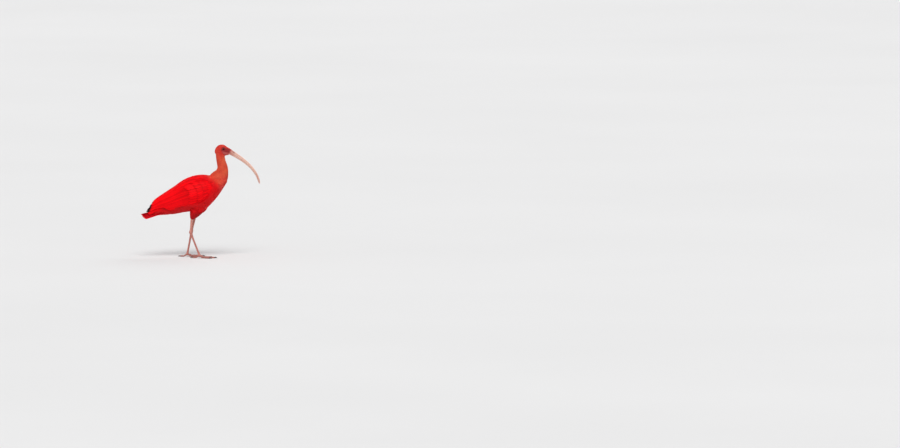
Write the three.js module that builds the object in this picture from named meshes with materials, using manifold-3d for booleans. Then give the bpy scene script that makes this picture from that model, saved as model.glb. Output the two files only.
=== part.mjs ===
// Scarlet ibis, adult, standing at rest, life size.
// Millimetres. +X is forward, the way the bill points, +Y is the bird's left and +Z is up.
// The origin is on the ground, under the middle of the bird.

import * as THREE from 'three';
import { mergeVertices } from 'three/addons/utils/BufferGeometryUtils.js';
import Module from 'manifold-3d';

const wasm = await Module();
wasm.setup();

const DEGREE = Math.PI / 180;
const GAP = 0.32; // left between two pieces that touch

// Driving dimensions

// The body lies along a line that starts at the breast and falls towards the tail.
const BODY_PITCH = 22 * DEGREE;
const BREAST = [85, 0, 250];

// Outline of body, folded wings and tail: place along the body line, top, bottom, half width.
const BODY_OUTLINE = [
  [-7, 9, 4, 8],
  [-2, 13, -1, 16],
  [11, 21, -10.5, 27],
  [28, 31, -22, 38],
  [48, 43, -35, 46],
  [72, 54, -47, 53],
  [102, 60, -57, 57],
  [130, 59.5, -50, 57],
  [165, 51.5, -40, 48],
  [200, 44.5, -33, 37],
  [240, 35.5, -19, 25],
  [270, 23, -16, 17],
  [300, 10, -14, 9],
];
const BREAST_START = -3; // where the torso's own form starts
const RUMP = 196; // where the torso ends and the tail starts
const RUMP_LAP = 8; // how far each of them is first built past that seam

// Rump and the feathers under the tail: place, top, bottom, half width.
const RUMP_OUTLINE = [
  [RUMP, 35, -33, 28],
  [216, 25, -28, 24],
  [240, 13, -20, 18],
  [264, 2, -17, 12],
];
const RUMP_END = 264;

// How deep the torso lies inside the outline where a wing covers it.
const WING_DEPTH = 9;
const BACK_DEPTH = 6;
const WING_CORE_DEPTH = 3; // how deep the wing's core lies under the tips of its feathers
const WING_FRONT = 26;
const WING_REAR = 222;
const WING_LOW = 132 * DEGREE; // the lower edge, as an angle round the body from the line of the back
const WING_SHOULDER = 72 * DEGREE; // where the wing reaches furthest forward
const WING_FRONT_CURVE = 34; // how far its front edge has fallen back one radian from there
const EDGE_ROUNDING = 13; // over which the wing's front and lower edges round down to the body
const REAR_THINNING = 24; // over which the core thins out towards the rear

// Neck, from inside the head down into the breast: x, z, half width, depth behind the line, depth ahead.
const NECK_LINE = [
  [70, 356, 10, 11, 11],
  [65, 342, 12.4, 14, 14],
  [65.6, 330, 12.6, 14.6, 14.6],
  [67.5, 315, 13.2, 14.4, 16.2],
  [71, 299, 14.7, 15.8, 18.2],
  [70.5, 284, 18, 20.5, 21.5],
  [64.5, 270, 24, 25.5, 28],
  [53, 257, 29, 27, 32],
  [39, 247, 31, 24, 28],
  [22, 238, 28, 17, 19],
];
const HEAD_SEAM = { point: [48, 0, 348], lean: 29 * DEGREE };
const NECK_SEAM = { point: [72, 0, 302], lean: -6 * DEGREE };
const BREAST_SEAM = { point: [36, 0, 269], lean: 25 * DEGREE };

// Head, from the back of the skull to the bill: x, z of the middle, half width, height above, height below.
const HEAD_LINE = [
  [46.5, 351, 1.5, 2, 2],
  [48.5, 351.5, 6, 8, 8],
  [53, 352.5, 10.2, 13.6, 13],
  [60, 353.5, 13.4, 18.2, 17],
  [69, 354, 14.6, 19.6, 17.5],
  [78, 353.4, 13.4, 19, 16.8],
  [87, 351.4, 10.4, 14.8, 13.6],
  [93, 349.8, 8.3, 11.2, 10.6],
  [99, 347.8, 7.3, 10.1, 8.8],
  [103, 346.3, 6.8, 9.7, 8.2],
];

const EYE_CENTRE = [76.5, 9.9, 358.2];
const EYE_RADIUS = 5.1;
const LID_RADIUS = 4.9;
const LID_THICKNESS = 1.25;
const LID_PLACE = 2.1; // how far outside the eye's middle the ring of the lids lies
const LID_TILT = 14 * DEGREE; // the side of the head faces up a little there

const BILL_BASE = [96.8, 348.4];
const BILL_LENGTH = 147;
const BILL_START_ANGLE = -30.5 * DEGREE;
const GAPE_ANGLE = -14 * DEGREE; // the mouth runs back into the cheek less steeply than the bill falls
const GAPE_REACH = 14;
const BILL_TURN = -50 * DEGREE; // how much further the tip points down
// Share of the length, half width, depth of the upper half, depth of the lower half.
const BILL_SECTION = [
  [0, 6.9, 9.8, 7.4],
  [0.12, 6.0, 8.8, 6.4],
  [0.3, 5.0, 7.4, 5.3],
  [0.55, 4.1, 5.8, 4.2],
  [0.8, 3.2, 4.5, 3.1],
  [0.95, 2.5, 3.4, 2.2],
  [1, 1.5, 2.0, 1.2],
];

// A vane's outline: share of its length and of its width.
const VANE_OUTLINE = [
  [0, 0.75],
  [0.45, 1],
  [0.86, 0.84],
  [1, 0.32],
];
const VANE_THICKNESS = 1.1;
const VANE_RISE = 2; // a vane has left the core by half its length
const VANE_ROOF = 0.35; // how far the shaft stands over the edges

// The wing's feathers in rows, lowest row first. `along` is the place along the body line, or the distance
// behind the wing's front edge, `turn` the angle in degrees from the line of the back, and `depth` how far
// inside the outline a feather lies at root and tip; each pair runs from the back down to the belly.
// `stack` is how much deeper each tip lies than the one before it, and `shaft` marks the vanes that have a
// raised shaft.
const WING_ROWS = [
  { // primaries
    count: 4,
    root: { along: [200, 190], turn: [66, 110] },
    tip: { along: [262, 284], turn: [28, 66] },
    halfWidth: 5.4, depth: [4.8, 0.8], tilt: 0.8, stack: 0.2, shaft: true,
  },
  { // secondaries
    count: 6,
    root: { along: [124, 112], turn: [60, 116] },
    tip: { along: [262, 212], turn: [46, 120] },
    halfWidth: 6.6, depth: [4.4, 0.9], tilt: 0.62, stack: 0, shaft: true,
  },
  { // tertials
    count: 3,
    root: { along: [104, 98], turn: [14, 46] },
    tip: { along: [254, 266], turn: [12, 38] },
    halfWidth: 8.5, depth: [4.2, 0], tilt: 0.7, stack: 0.4, shaft: true,
  },
  { // greater coverts
    count: 6,
    root: { along: [50, 50], turn: [42, 113], fromFront: true },
    tip: { along: [108, 98], turn: [39, 117], fromFront: true },
    halfWidth: 8.6, depth: [4.2, 0.9], tilt: 0.65, stack: 0,
  },
  { // median coverts
    count: 6,
    root: { along: [22, 22], turn: [46, 111], fromFront: true },
    tip: { along: [64, 60], turn: [42, 115], fromFront: true },
    halfWidth: 8.2, depth: [4.2, 0.4], tilt: 0.62, stack: 0,
  },
  { // feathers of the shoulder
    count: 3,
    root: { along: [60, 52], turn: [9, 30] },
    tip: { along: [132, 158], turn: [9, 30] },
    halfWidth: 7.5, depth: [4.2, 0.5], tilt: 0.8, stack: 0,
  },
];

const TAIL_FEATHERS = 12;
const TAIL_ROOT = 226;
const TAIL_TIP = 300;
const TAIL_ROUNDING = 7; // how much shorter the outermost pair is
const TAIL_HALF_WIDTH = 6;
const TAIL_TILT = 1.2;

const FLOOR = 0;
// Each leg: side (1 left, -1 right), the hip, the end of the feathers, the hock and the ankle.
const LEGS = [
  {
    name: 'left', side: 1, yaw: 7,
    hip: [4, 21, 186], cuff: [-20, 22.5, 130], hock: [-31, 22, 84], ankle: [-45, 25, 10],
  },
  {
    name: 'right', side: -1, yaw: -6,
    hip: [-4, -21, 186], cuff: [-29, -22.5, 128], hock: [-33, -22, 84], ankle: [-4, -26, 10],
  },
];
// Toes: yaw from the foot's own line towards the outside, length to the claw, thickness at the root.
const TOES = [
  { name: 'inner', yaw: -27, length: 39, radius: 3.3 },
  { name: 'middle', yaw: 1, length: 51, radius: 3.5 },
  { name: 'outer', yaw: 29, length: 42, radius: 3.4 },
  { name: 'hind', yaw: 171, length: 23, radius: 2.9 },
];
const CLAW_LENGTH = 8.5;
const CLAW_TIP = 0.5; // radius
const HOCK_RADIUS = 5;
const ANKLE_RADIUS = 4.3;
const WEB_ROOT = 2;
const WEB_REACH = 17;
const WEB_HEIGHT = 1.2;
const WEB_ROOT_HEIGHT = 4.6;
const WEB_THICKNESS = 1.9;

const SCARLET = new THREE.MeshStandardMaterial({ color: 0xe3120b, roughness: 0.7 });
const VERMILION = new THREE.MeshStandardMaterial({ color: 0xe23a22, roughness: 0.75 });
const DEEP_RED = new THREE.MeshStandardMaterial({ color: 0xb00f0c, roughness: 0.75 });
const BILL_IVORY = new THREE.MeshStandardMaterial({ color: 0xd9b3a2, roughness: 0.45 });
const LEG_PINK = new THREE.MeshStandardMaterial({ color: 0xc17f74, roughness: 0.6 });
const CLAW_GREY = new THREE.MeshStandardMaterial({ color: 0x4a3a36, roughness: 0.5 });
const EYE_DARK = new THREE.MeshStandardMaterial({ color: 0x1c0d0a, roughness: 0.12 });

// Small helpers

// A smooth run of values through stations: each row is a place and the values there.
function runThrough(rows) {
  const places = Float32Array.from(rows.map((row) => row[0]));
  const values = Float32Array.from(rows.flatMap((row) => row.slice(1)));
  const curve = new THREE.CubicInterpolant(places, values, rows[0].length - 1);
  return (place) => Array.from(curve.evaluate(place));
}

const { lerp: mix, smoothstep } = THREE.MathUtils;

function vector([x, y, z]) {
  return new THREE.Vector3(x, y, z);
}

// Solids

// Joins loose triangles into one closed solid with its faces pointing out.
function solidOf(geometry) {
  const bare = new THREE.BufferGeometry();
  bare.setAttribute('position', geometry.getAttribute('position'));
  bare.setIndex(geometry.getIndex());
  const merged = mergeVertices(bare, 1e-4);
  const corners = merged.getIndex().array;
  const triangles = [];
  for (let i = 0; i < corners.length; i += 3) {
    const [a, b, c] = [corners[i], corners[i + 1], corners[i + 2]];
    if (a !== b && b !== c && c !== a) triangles.push(a, b, c);
  }
  const build = (list) => new wasm.Manifold(new wasm.Mesh({
    numProp: 3,
    vertProperties: Float32Array.from(merged.getAttribute('position').array),
    triVerts: Uint32Array.from(list),
  }));
  const solid = build(triangles);
  return solid.volume() > 0 ? solid : build(triangles.reverse());
}

// A closed skin over rings of equal length, with a fan at each end.
function loft(rings) {
  const count = rings[0].length;
  const points = rings.flat();
  const faces = [];
  for (let row = 0; row + 1 < rings.length; row++) {
    for (let i = 0; i < count; i++) {
      const a = row * count + i;
      const b = row * count + (i + 1) % count;
      faces.push(a, b, b + count, a, b + count, a + count);
    }
  }
  const addFan = (ring, first, forward) => {
    const middle = ring.reduce((sum, point) => sum.add(point), new THREE.Vector3()).divideScalar(count);
    points.push(middle);
    for (let i = 0; i < count; i++) {
      const [a, b] = [first + i, first + (i + 1) % count];
      faces.push(...(forward ? [points.length - 1, b, a] : [points.length - 1, a, b]));
    }
  };
  addFan(rings[0], 0, true);
  addFan(rings[rings.length - 1], (rings.length - 1) * count, false);
  return solidOf(new THREE.BufferGeometry().setFromPoints(points).setIndex(faces));
}

// A thick sheet from two grids of points, row by row, whose triangles lie alike on both faces.
function slab(upper, lower) {
  const columns = upper[0].length;
  const rows = upper.length;
  const points = [...upper.flat(), ...lower.flat()];
  const under = rows * columns;
  const at = (row, column) => row * columns + column;
  const faces = [];
  for (let row = 0; row + 1 < rows; row++) {
    for (let column = 0; column + 1 < columns; column++) {
      const [a, b] = [at(row, column), at(row, column + 1)];
      const [c, d] = [at(row + 1, column), at(row + 1, column + 1)];
      const left = column < (columns - 1) / 2;
      const pair = left ? [a, b, d, a, d, c] : [a, b, c, b, d, c];
      faces.push(...pair);
      faces.push(...pair.map((corner) => corner + under).reverse());
    }
  }
  const border = [];
  for (let column = 0; column + 1 < columns; column++) border.push(at(0, column));
  for (let row = 0; row + 1 < rows; row++) border.push(at(row, columns - 1));
  for (let column = columns - 1; column > 0; column--) border.push(at(rows - 1, column));
  for (let row = rows - 1; row > 0; row--) border.push(at(row, 0));
  border.forEach((a, i) => {
    const b = border[(i + 1) % border.length];
    faces.push(b, a, a + under, b, a + under, b + under);
  });
  return solidOf(new THREE.BufferGeometry().setFromPoints(points).setIndex(faces));
}

// An oval ring round a point; `across` is the sideways direction and `ahead` the way the form runs.
function ovalRing(middle, across, ahead, halfWidth, above, below, sides) {
  const upward = ahead.clone().cross(across).normalize();
  const sideways = across.clone().normalize();
  const ring = [];
  for (let i = 0; i < sides; i++) {
    const angle = (i / sides) * 2 * Math.PI;
    const height = Math.cos(angle) * (Math.cos(angle) > 0 ? above : below);
    ring.push(middle.clone()
      .addScaledVector(sideways, Math.sin(angle) * halfWidth)
      .addScaledVector(upward, height));
  }
  return ring;
}

// A form swept along a curve; `shape` gives half width, height above and depth below for each share.
function sweep(curve, across, shape, steps, sides) {
  const rings = [];
  for (let i = 0; i <= steps; i++) {
    const share = i / steps;
    const ahead = curve.getTangent(share);
    const sideways = across.clone().addScaledVector(ahead, -across.dot(ahead)).normalize();
    const [halfWidth, above, below] = shape(share);
    rings.push(ovalRing(curve.getPoint(share), sideways, ahead, halfWidth, above, below ?? above, sides));
  }
  return loft(rings);
}

function joined(solids) {
  return wasm.Manifold.union(solids);
}

// Only the largest closed surface of a solid, so that no scrap or sealed hollow is left.
function largest(solid) {
  const pieces = solid.decompose();
  return pieces.reduce((best, piece) => (piece.volume() > best.volume() ? piece : best));
}

// Cuts a solid in two at a seam and leaves the gap between the halves: [the side ahead, the side behind].
function parted(solid, point, normal) {
  const place = normal.dot(point);
  const toward = [normal.x, normal.y, normal.z];
  const away = toward.map((value) => -value);
  return [
    solid.trimByPlane(toward, place + GAP / 2),
    solid.trimByPlane(away, -(place - GAP / 2)),
  ];
}

function seamNormal(seam) {
  return new THREE.Vector3(Math.sin(seam.lean), 0, Math.cos(seam.lean));
}

// Body

const rearward = new THREE.Vector3(-Math.cos(BODY_PITCH), 0, -Math.sin(BODY_PITCH));
const aboveBody = new THREE.Vector3(-Math.sin(BODY_PITCH), 0, Math.cos(BODY_PITCH));
const leftward = new THREE.Vector3(0, 1, 0);

function inBody(along, side, above) {
  return vector(BREAST)
    .addScaledVector(rearward, along)
    .addScaledVector(aboveBody, above)
    .addScaledVector(leftward, side);
}

const bodyOutline = runThrough(BODY_OUTLINE);
const rumpOutline = runThrough(RUMP_OUTLINE);

// A point of the outline: `turn` is the angle from the line of the back, `depth` how far inside it lies.
function outlinePoint(along, turn, depth, outline = bodyOutline) {
  const [top, bottom, halfWidth] = outline(along);
  const halfHeight = Math.max((top - bottom) / 2 - depth, 0.5);
  const side = Math.max(halfWidth - depth, 0.5) * Math.sin(turn);
  return inBody(along, side, (top + bottom) / 2 + halfHeight * Math.cos(turn));
}

// The mean radius of the outline, which turns a width in millimetres into an angle.
function outlineRadius(along) {
  const [top, bottom, halfWidth] = bodyOutline(along);
  return ((top - bottom) / 2 + halfWidth) / 2;
}

// How deep the torso lies inside the outline: as deep as the wing is thick, and level with it elsewhere.
function torsoDepth(along, turn) {
  const angle = Math.abs(turn > Math.PI ? turn - 2 * Math.PI : turn);
  const behindFront = smoothstep(along, WING_FRONT - 16, WING_FRONT + 30);
  const underWing = 1 - smoothstep(angle, 118 * DEGREE, 150 * DEGREE);
  const overBack = smoothstep(angle, 0, 35 * DEGREE);
  return behindFront * underWing * mix(BACK_DEPTH, WING_DEPTH, overBack);
}

const TORSO_SIDES = 24;

function torsoForm(swell) {
  const rings = [];
  const steps = 12;
  for (let i = 0; i <= steps; i++) {
    const along = mix(BREAST_START, RUMP + RUMP_LAP, (i / steps) ** 1.35) - (i === 0 ? swell : 0);
    const ring = [];
    for (let j = 0; j < TORSO_SIDES; j++) {
      const turn = (j / TORSO_SIDES) * 2 * Math.PI;
      ring.push(outlinePoint(along, turn, torsoDepth(along, turn) - swell));
    }
    rings.push(ring);
  }
  return loft(rings);
}

function rumpForm(swell) {
  const rings = [];
  const steps = 4;
  const sides = 16;
  for (let i = 0; i <= steps; i++) {
    const along = mix(RUMP - RUMP_LAP, RUMP_END, i / steps) + (i === steps ? swell : 0);
    const ring = [];
    for (let j = 0; j < sides; j++) {
      ring.push(outlinePoint(along, (j / sides) * 2 * Math.PI, -swell, rumpOutline));
    }
    rings.push(ring);
  }
  return loft(rings);
}

function neckForm(swell) {
  const places = NECK_LINE.map(([x, z]) => new THREE.Vector3(x, 0, z));
  const curve = new THREE.CatmullRomCurve3(places, false, 'centripetal');
  const last = NECK_LINE.length - 1;
  const size = runThrough(NECK_LINE.map(([, , ...sizes], i) => [i / last, ...sizes]));
  const rings = [];
  const steps = 16;
  for (let i = 0; i <= steps; i++) {
    const share = i / steps;
    const [width, behind, before] = size(share).map((value) => value + swell);
    const ahead = curve.getTangent(share);
    rings.push(ovalRing(curve.getPoint(share), leftward, ahead, width, before, behind, 18));
  }
  return loft(rings);
}

function headForm() {
  const line = runThrough(HEAD_LINE);
  const rings = [];
  const ends = [HEAD_LINE[0][0], HEAD_LINE[HEAD_LINE.length - 1][0]];
  const steps = 12;
  const forward = new THREE.Vector3(1, 0, 0);
  for (let i = 0; i <= steps; i++) {
    // closer rings where the skull rounds off
    const x = mix(ends[0], ends[1], (i / steps) ** 1.25);
    const [z, halfWidth, above, below] = line(x);
    rings.push(ovalRing(new THREE.Vector3(x, 0, z), leftward, forward, halfWidth, above, below, 18));
  }
  return loft(rings);
}

// Bill

// The bill's heading falls away faster towards the tip, so its line is summed in small steps.
function billFrames(count) {
  const frames = [];
  const place = new THREE.Vector3(BILL_BASE[0], 0, BILL_BASE[1]);
  const steps = 240;
  for (let i = 0; i <= steps; i++) {
    const share = i / steps;
    const heading = BILL_START_ANGLE + BILL_TURN * share * share;
    const ahead = new THREE.Vector3(Math.cos(heading), 0, Math.sin(heading));
    if (i % (steps / count) === 0) {
      frames.push({ share, ahead, above: new THREE.Vector3(-ahead.z, 0, ahead.x), place: place.clone() });
    }
    place.addScaledVector(ahead, BILL_LENGTH / steps);
  }
  return frames;
}

const billSection = runThrough(BILL_SECTION);
const BILL_RINGS = 15;
const BILL_SIDES = 11;
const GROOVE_DEPTH = 0.13; // as a share of the bill's own depth, fading towards the tip
const GROOVE_PLACE = 52 * DEGREE; // from the ridge of the bill
const GROOVE_SPREAD = 13 * DEGREE;
const LOWER_TIP_SHORTER = 1.2;
const NOSTRIL_HEIGHT = 3.6;

// Upper (way 1) or lower (way -1) half of the bill, with a groove along each side of the upper one.
function billHalf(way) {
  const rings = billFrames(BILL_RINGS).map(({ share, above, place, ahead }) => {
    const [halfWidth, upperDepth, lowerDepth] = billSection(share);
    const depth = way > 0 ? upperDepth : lowerDepth;
    const ring = [];
    const start = place.clone();
    if (share === 0) start.addScaledVector(ahead, GAP);
    if (share === 1 && way < 0) start.addScaledVector(ahead, -LOWER_TIP_SHORTER);
    for (let i = 0; i < BILL_SIDES; i++) {
      const turn = (i / (BILL_SIDES - 1)) * Math.PI;
      const offGroove = (Math.abs(turn - Math.PI / 2) - GROOVE_PLACE) / GROOVE_SPREAD;
      const groove = way > 0 ? GROOVE_DEPTH * Math.exp(-(offGroove ** 2)) : 0;
      const scale = 1 - groove * (1 - share);
      ring.push(start.clone()
        .addScaledVector(leftward, Math.cos(turn) * halfWidth * scale)
        .addScaledVector(above, way * (GAP / 2 + Math.sin(turn) * depth * scale)));
    }
    return ring;
  });
  return loft(rings);
}

// A slit on each side of the upper bill, near its root.
function nostril(side) {
  const [, , frame] = billFrames(30);
  const slit = new THREE.SphereGeometry(1, 10, 8);
  slit.scale(4.2, 1.5, 0.75);
  slit.rotateY(-BILL_START_ANGLE);
  const [halfWidth] = billSection(frame.share);
  slit.translate(...frame.place.clone()
    .addScaledVector(frame.above, NOSTRIL_HEIGHT)
    .addScaledVector(leftward, side * (halfWidth * 0.86)));
  return solidOf(slit);
}

// Head with lids, eye sockets and the line of the mouth running back into the cheek

function sphereAt([x, y, z], radius, around = 12) {
  const ball = new THREE.SphereGeometry(radius, around, Math.round(around * 0.7));
  ball.rotateX(Math.PI / 2);
  ball.translate(x, y, z);
  return solidOf(ball);
}

function eyePlace(side) {
  return [EYE_CENTRE[0], side * EYE_CENTRE[1], EYE_CENTRE[2]];
}

function lid(side) {
  const ring = new THREE.TorusGeometry(LID_RADIUS, LID_THICKNESS, 6, 14);
  ring.scale(1.08, 0.96, 1);
  ring.rotateX(Math.PI / 2 + side * LID_TILT);
  const [x, y, z] = eyePlace(side);
  ring.translate(x, y + side * LID_PLACE, z);
  return solidOf(ring);
}

function mouthSlit(side) {
  const slit = new THREE.BoxGeometry(GAPE_REACH + 3, 3, 0.7);
  slit.translate(1.5 - GAPE_REACH / 2, side * 1.5, 0);
  slit.rotateZ(-side * 13 * DEGREE);
  slit.rotateY(-GAPE_ANGLE);
  slit.translate(BILL_BASE[0], side * 5.6, BILL_BASE[1]);
  return solidOf(slit);
}

function buildFlesh() {
  const sides = [1, -1];
  const billStart = vector([BILL_BASE[0], 0, BILL_BASE[1]]);
  const billAhead = new THREE.Vector3(Math.cos(BILL_START_ANGLE), 0, Math.sin(BILL_START_ANGLE));
  const skull = headForm().trimByPlane([-billAhead.x, 0, -billAhead.z], -billAhead.dot(billStart));
  let whole = joined([torsoForm(0), neckForm(0), skull, ...sides.map(lid)]);
  sides.forEach((side) => {
    whole = whole.subtract(sphereAt(eyePlace(side), EYE_RADIUS + GAP, 12)).subtract(mouthSlit(side));
  });
  const [head, belowHead] = parted(whole, vector(HEAD_SEAM.point), seamNormal(HEAD_SEAM));
  const [neckUpper, belowNeck] = parted(belowHead, vector(NECK_SEAM.point), seamNormal(NECK_SEAM));
  const [neckLower, body] = parted(belowNeck, vector(BREAST_SEAM.point), seamNormal(BREAST_SEAM));
  const [, torso] = parted(body, inBody(RUMP, 0, 0), rearward);
  return { head, neck_upper: neckUpper, neck_lower: neckLower, torso };
}

// Wings

// The front edge of the folded wing is rounded: it lies furthest forward at the side of the breast.
function wingFrontAt(turn) {
  return WING_FRONT + WING_FRONT_CURVE * (turn - WING_SHOULDER) ** 2;
}

// The wing's core: a shell that thins out to nothing along its front and lower edges.
function wingCore() {
  const rows = 10;
  const columns = 9;
  const outer = [];
  const inner = [];
  for (let i = 0; i <= rows; i++) {
    const outerRow = [];
    const innerRow = [];
    for (let j = 0; j <= columns; j++) {
      const turn = mix(0, WING_LOW, j / columns);
      const front = wingFrontAt(turn);
      const along = mix(front, WING_REAR, (i / rows) ** 1.15);
      const aboveLow = (WING_LOW - turn) * outlineRadius(along);
      const rise = smoothstep(along - front, -2, EDGE_ROUNDING) * smoothstep(aboveLow, -2, EDGE_ROUNDING);
      const rear = 1 - smoothstep(WING_REAR - along, 0, REAR_THINNING);
      const innerDepth = mix(WING_DEPTH + 3.5, WING_DEPTH - 0.4, smoothstep(along, RUMP - 14, RUMP + 2));
      const outerDepth = mix(innerDepth - 0.6, WING_CORE_DEPTH, rise);
      outerRow.push(outlinePoint(along, -turn, mix(outerDepth, innerDepth - 0.7, rear)));
      innerRow.push(outlinePoint(along, -turn, innerDepth));
    }
    outer.push(outerRow);
    inner.push(innerRow);
  }
  return slab(outer, inner);
}

// A vane: a thin, slightly roofed blade with a rounded tip, laid along the body's outline.
// Its lower edge lies `tilt` higher than its middle and its upper edge as much deeper, as shingles lie.
function vane({ root, tip, halfWidth, depth, tilt, shaft }) {
  const edges = shaft ? [-1, 0, 1] : [-1, 1];
  const upper = [];
  const lower = [];
  VANE_OUTLINE.forEach(([share, width]) => {
    const along = mix(root[0], tip[0], share);
    const turn = mix(root[1], tip[1], share) * DEGREE;
    const level = mix(depth[0], depth[1], Math.min(1, share * VANE_RISE));
    const upperRow = [];
    const lowerRow = [];
    edges.forEach((edge) => {
      const angle = turn + (edge * halfWidth * width) / outlineRadius(along);
      const at = level - edge * tilt * width - (edge === 0 ? VANE_ROOF : 0);
      upperRow.push(outlinePoint(along, -angle, at));
      lowerRow.push(outlinePoint(along, -angle, at + VANE_THICKNESS));
    });
    upper.push(upperRow);
    lower.push(lowerRow);
  });
  return slab(upper, lower);
}

// One row of feathers, from the back (share 0) to the belly (share 1), each a little unlike the next.
function featherRow({ count, root, tip, halfWidth, depth, tilt, stack, shaft }) {
  const feathers = [];
  for (let i = 0; i < count; i++) {
    const share = i / (count - 1);
    const rootTurn = mix(root.turn[0], root.turn[1], share);
    const tipTurn = mix(tip.turn[0], tip.turn[1], share) + vary(1.2);
    const offset = root.fromFront ? wingFrontAt(rootTurn * DEGREE) : 0;
    feathers.push(vane({
      root: [offset + mix(root.along[0], root.along[1], share), rootTurn],
      tip: [offset + mix(tip.along[0], tip.along[1], share) + vary(1.6), tipTurn],
      halfWidth: halfWidth * (1 + vary(0.04)),
      depth: [depth[0], depth[1] + i * stack],
      tilt,
      shaft,
    }));
  }
  return feathers;
}

function vary(most) {
  return mix(-most, most, THREE.MathUtils.seededRandom());
}

// The right wing is modelled, and the left one is its mirror image with feathers drawn anew.
function buildWing(side, bodyRoom) {
  THREE.MathUtils.seededRandom(side > 0 ? 11 : 4);
  const feathers = WING_ROWS.flatMap(featherRow);
  const wing = joined([wingCore(), ...feathers]).trimByPlane([0, -1, 0], GAP / 2);
  return largest((side > 0 ? wing.mirror([0, 1, 0]) : wing).subtract(bodyRoom));
}

// Tail

// One of the twelve tail feathers; `rank` runs from the middle pair, 0.5, out to the edge, 5.5.
function tailFeather(side, rank) {
  const outermost = (TAIL_FEATHERS - 1) / 2;
  const spread = rank / outermost;
  const upper = [];
  const lower = [];
  VANE_OUTLINE.forEach(([share, width]) => {
    const along = mix(TAIL_ROOT, TAIL_TIP - TAIL_ROUNDING * spread ** 2 + vary(0.5), share);
    const middle = mix(2 * rank, 3.3 * rank, share);
    const arch = -mix(7, 15, share) * spread ** 1.6;
    const level = mix(-5, 7, share) + arch;
    const slope = mix(0.35, 0.9, share) * spread;
    const upperRow = [];
    const lowerRow = [];
    [-1, 0, 1].forEach((edge) => {
      const out = edge * TAIL_HALF_WIDTH * width;
      const lift = edge * TAIL_TILT * width + (edge === 0 ? VANE_ROOF : 0);
      const above = level - out * slope + lift;
      const across = (middle + out * Math.cos(slope)) * side;
      upperRow.push(inBody(along, across, above));
      lowerRow.push(inBody(along, across, above - VANE_THICKNESS));
    });
    upper.push(upperRow);
    lower.push(lowerRow);
  });
  return slab(upper, lower);
}

function buildTail() {
  THREE.MathUtils.seededRandom(23);
  const rump = parted(rumpForm(0), inBody(RUMP, 0, 0), rearward)[0];
  const feathers = [];
  for (let pair = 0; pair < TAIL_FEATHERS / 2; pair++) {
    feathers.push(tailFeather(1, pair + 0.5), tailFeather(-1, pair + 0.5));
  }
  return largest(joined([rump, ...feathers]));
}

// Legs

function straight(from, to) {
  return new THREE.LineCurve3(vector(from), vector(to));
}

function thighForm(leg) {
  const radius = runThrough([
    [0, 15, 25],
    [0.35, 15, 24],
    [0.6, 13, 17],
    [0.82, 9.4, 11],
    [0.95, 6.2, 6.9],
    [1, 4.4, 4.9],
  ]);
  return sweep(straight(leg.hip, leg.cuff), leftward, radius, 8, 14);
}

function shinForm(leg) {
  const radius = runThrough([
    [0, 3.6, 4],
    [0.6, 2.9, 3.3],
    [0.82, 3.1, 3.6],
    [0.95, 4.3, 5],
    [1, 4.5, 5.2],
  ]);
  return sweep(straight(leg.cuff, leg.hock), leftward, radius, 8, 10);
}

function tarsusForm(leg) {
  const radius = runThrough([
    [0, 4.4, 5.1],
    [0.07, 4, 4.8],
    [0.2, 2.8, 3.5],
    [0.8, 2.6, 3.1],
    [0.93, 3.3, 3.6],
    [1, 3.9, 4],
  ]);
  return sweep(straight(leg.hock, leg.ankle), leftward, radius, 10, 10);
}

function toeHeading(leg, toe) {
  const angle = (leg.yaw + leg.side * toe.yaw) * DEGREE;
  return new THREE.Vector3(Math.cos(angle), Math.sin(angle), 0);
}

function toeLine(leg, toe) {
  const heading = toeHeading(leg, toe);
  const ankle = vector(leg.ankle);
  const at = (reach, height) => ankle.clone().addScaledVector(heading, reach).setZ(height);
  const bend = toe.name === 'hind' ? 0.45 : 0.3;
  return new THREE.CatmullRomCurve3([
    at(0, leg.ankle[2] - 2.2),
    at(toe.length * bend * 0.55, 6.2),
    at(toe.length * bend, toe.radius * 0.95),
    at(toe.length * 0.7, toe.radius * 0.8),
    at(toe.length, toe.radius * 0.66),
  ]);
}

function toeForm(leg, toe) {
  const across = new THREE.Vector3(0, 0, 1).cross(toeHeading(leg, toe));
  const pads = toe.name === 'hind' ? 1 : 3;
  const size = (share) => {
    const pad = 1 + 0.1 * Math.cos(share * pads * 2 * Math.PI);
    const radius = toe.radius * mix(1, 0.72, share) * pad;
    return [radius, radius];
  };
  return sweep(toeLine(leg, toe), across, size, 9, 7);
}

// The small web between the roots of two front toes.
function webForm(leg, first, second) {
  const ankle = vector(leg.ankle);
  const point = (toe, reach, height) => (
    ankle.clone().addScaledVector(toeHeading(leg, toe), reach).setZ(height)
  );
  const middle = ankle.clone()
    .addScaledVector(toeHeading(leg, first).add(toeHeading(leg, second)).normalize(), WEB_REACH * 0.72);
  const ring = (rear, front) => [
    point(first, WEB_ROOT, rear),
    point(first, WEB_REACH, front),
    middle.clone().setZ(front),
    point(second, WEB_REACH, front),
    point(second, WEB_ROOT, rear),
  ];
  return loft([
    ring(WEB_ROOT_HEIGHT, WEB_HEIGHT),
    ring(WEB_ROOT_HEIGHT + WEB_THICKNESS, WEB_HEIGHT + WEB_THICKNESS),
  ]);
}

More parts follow.
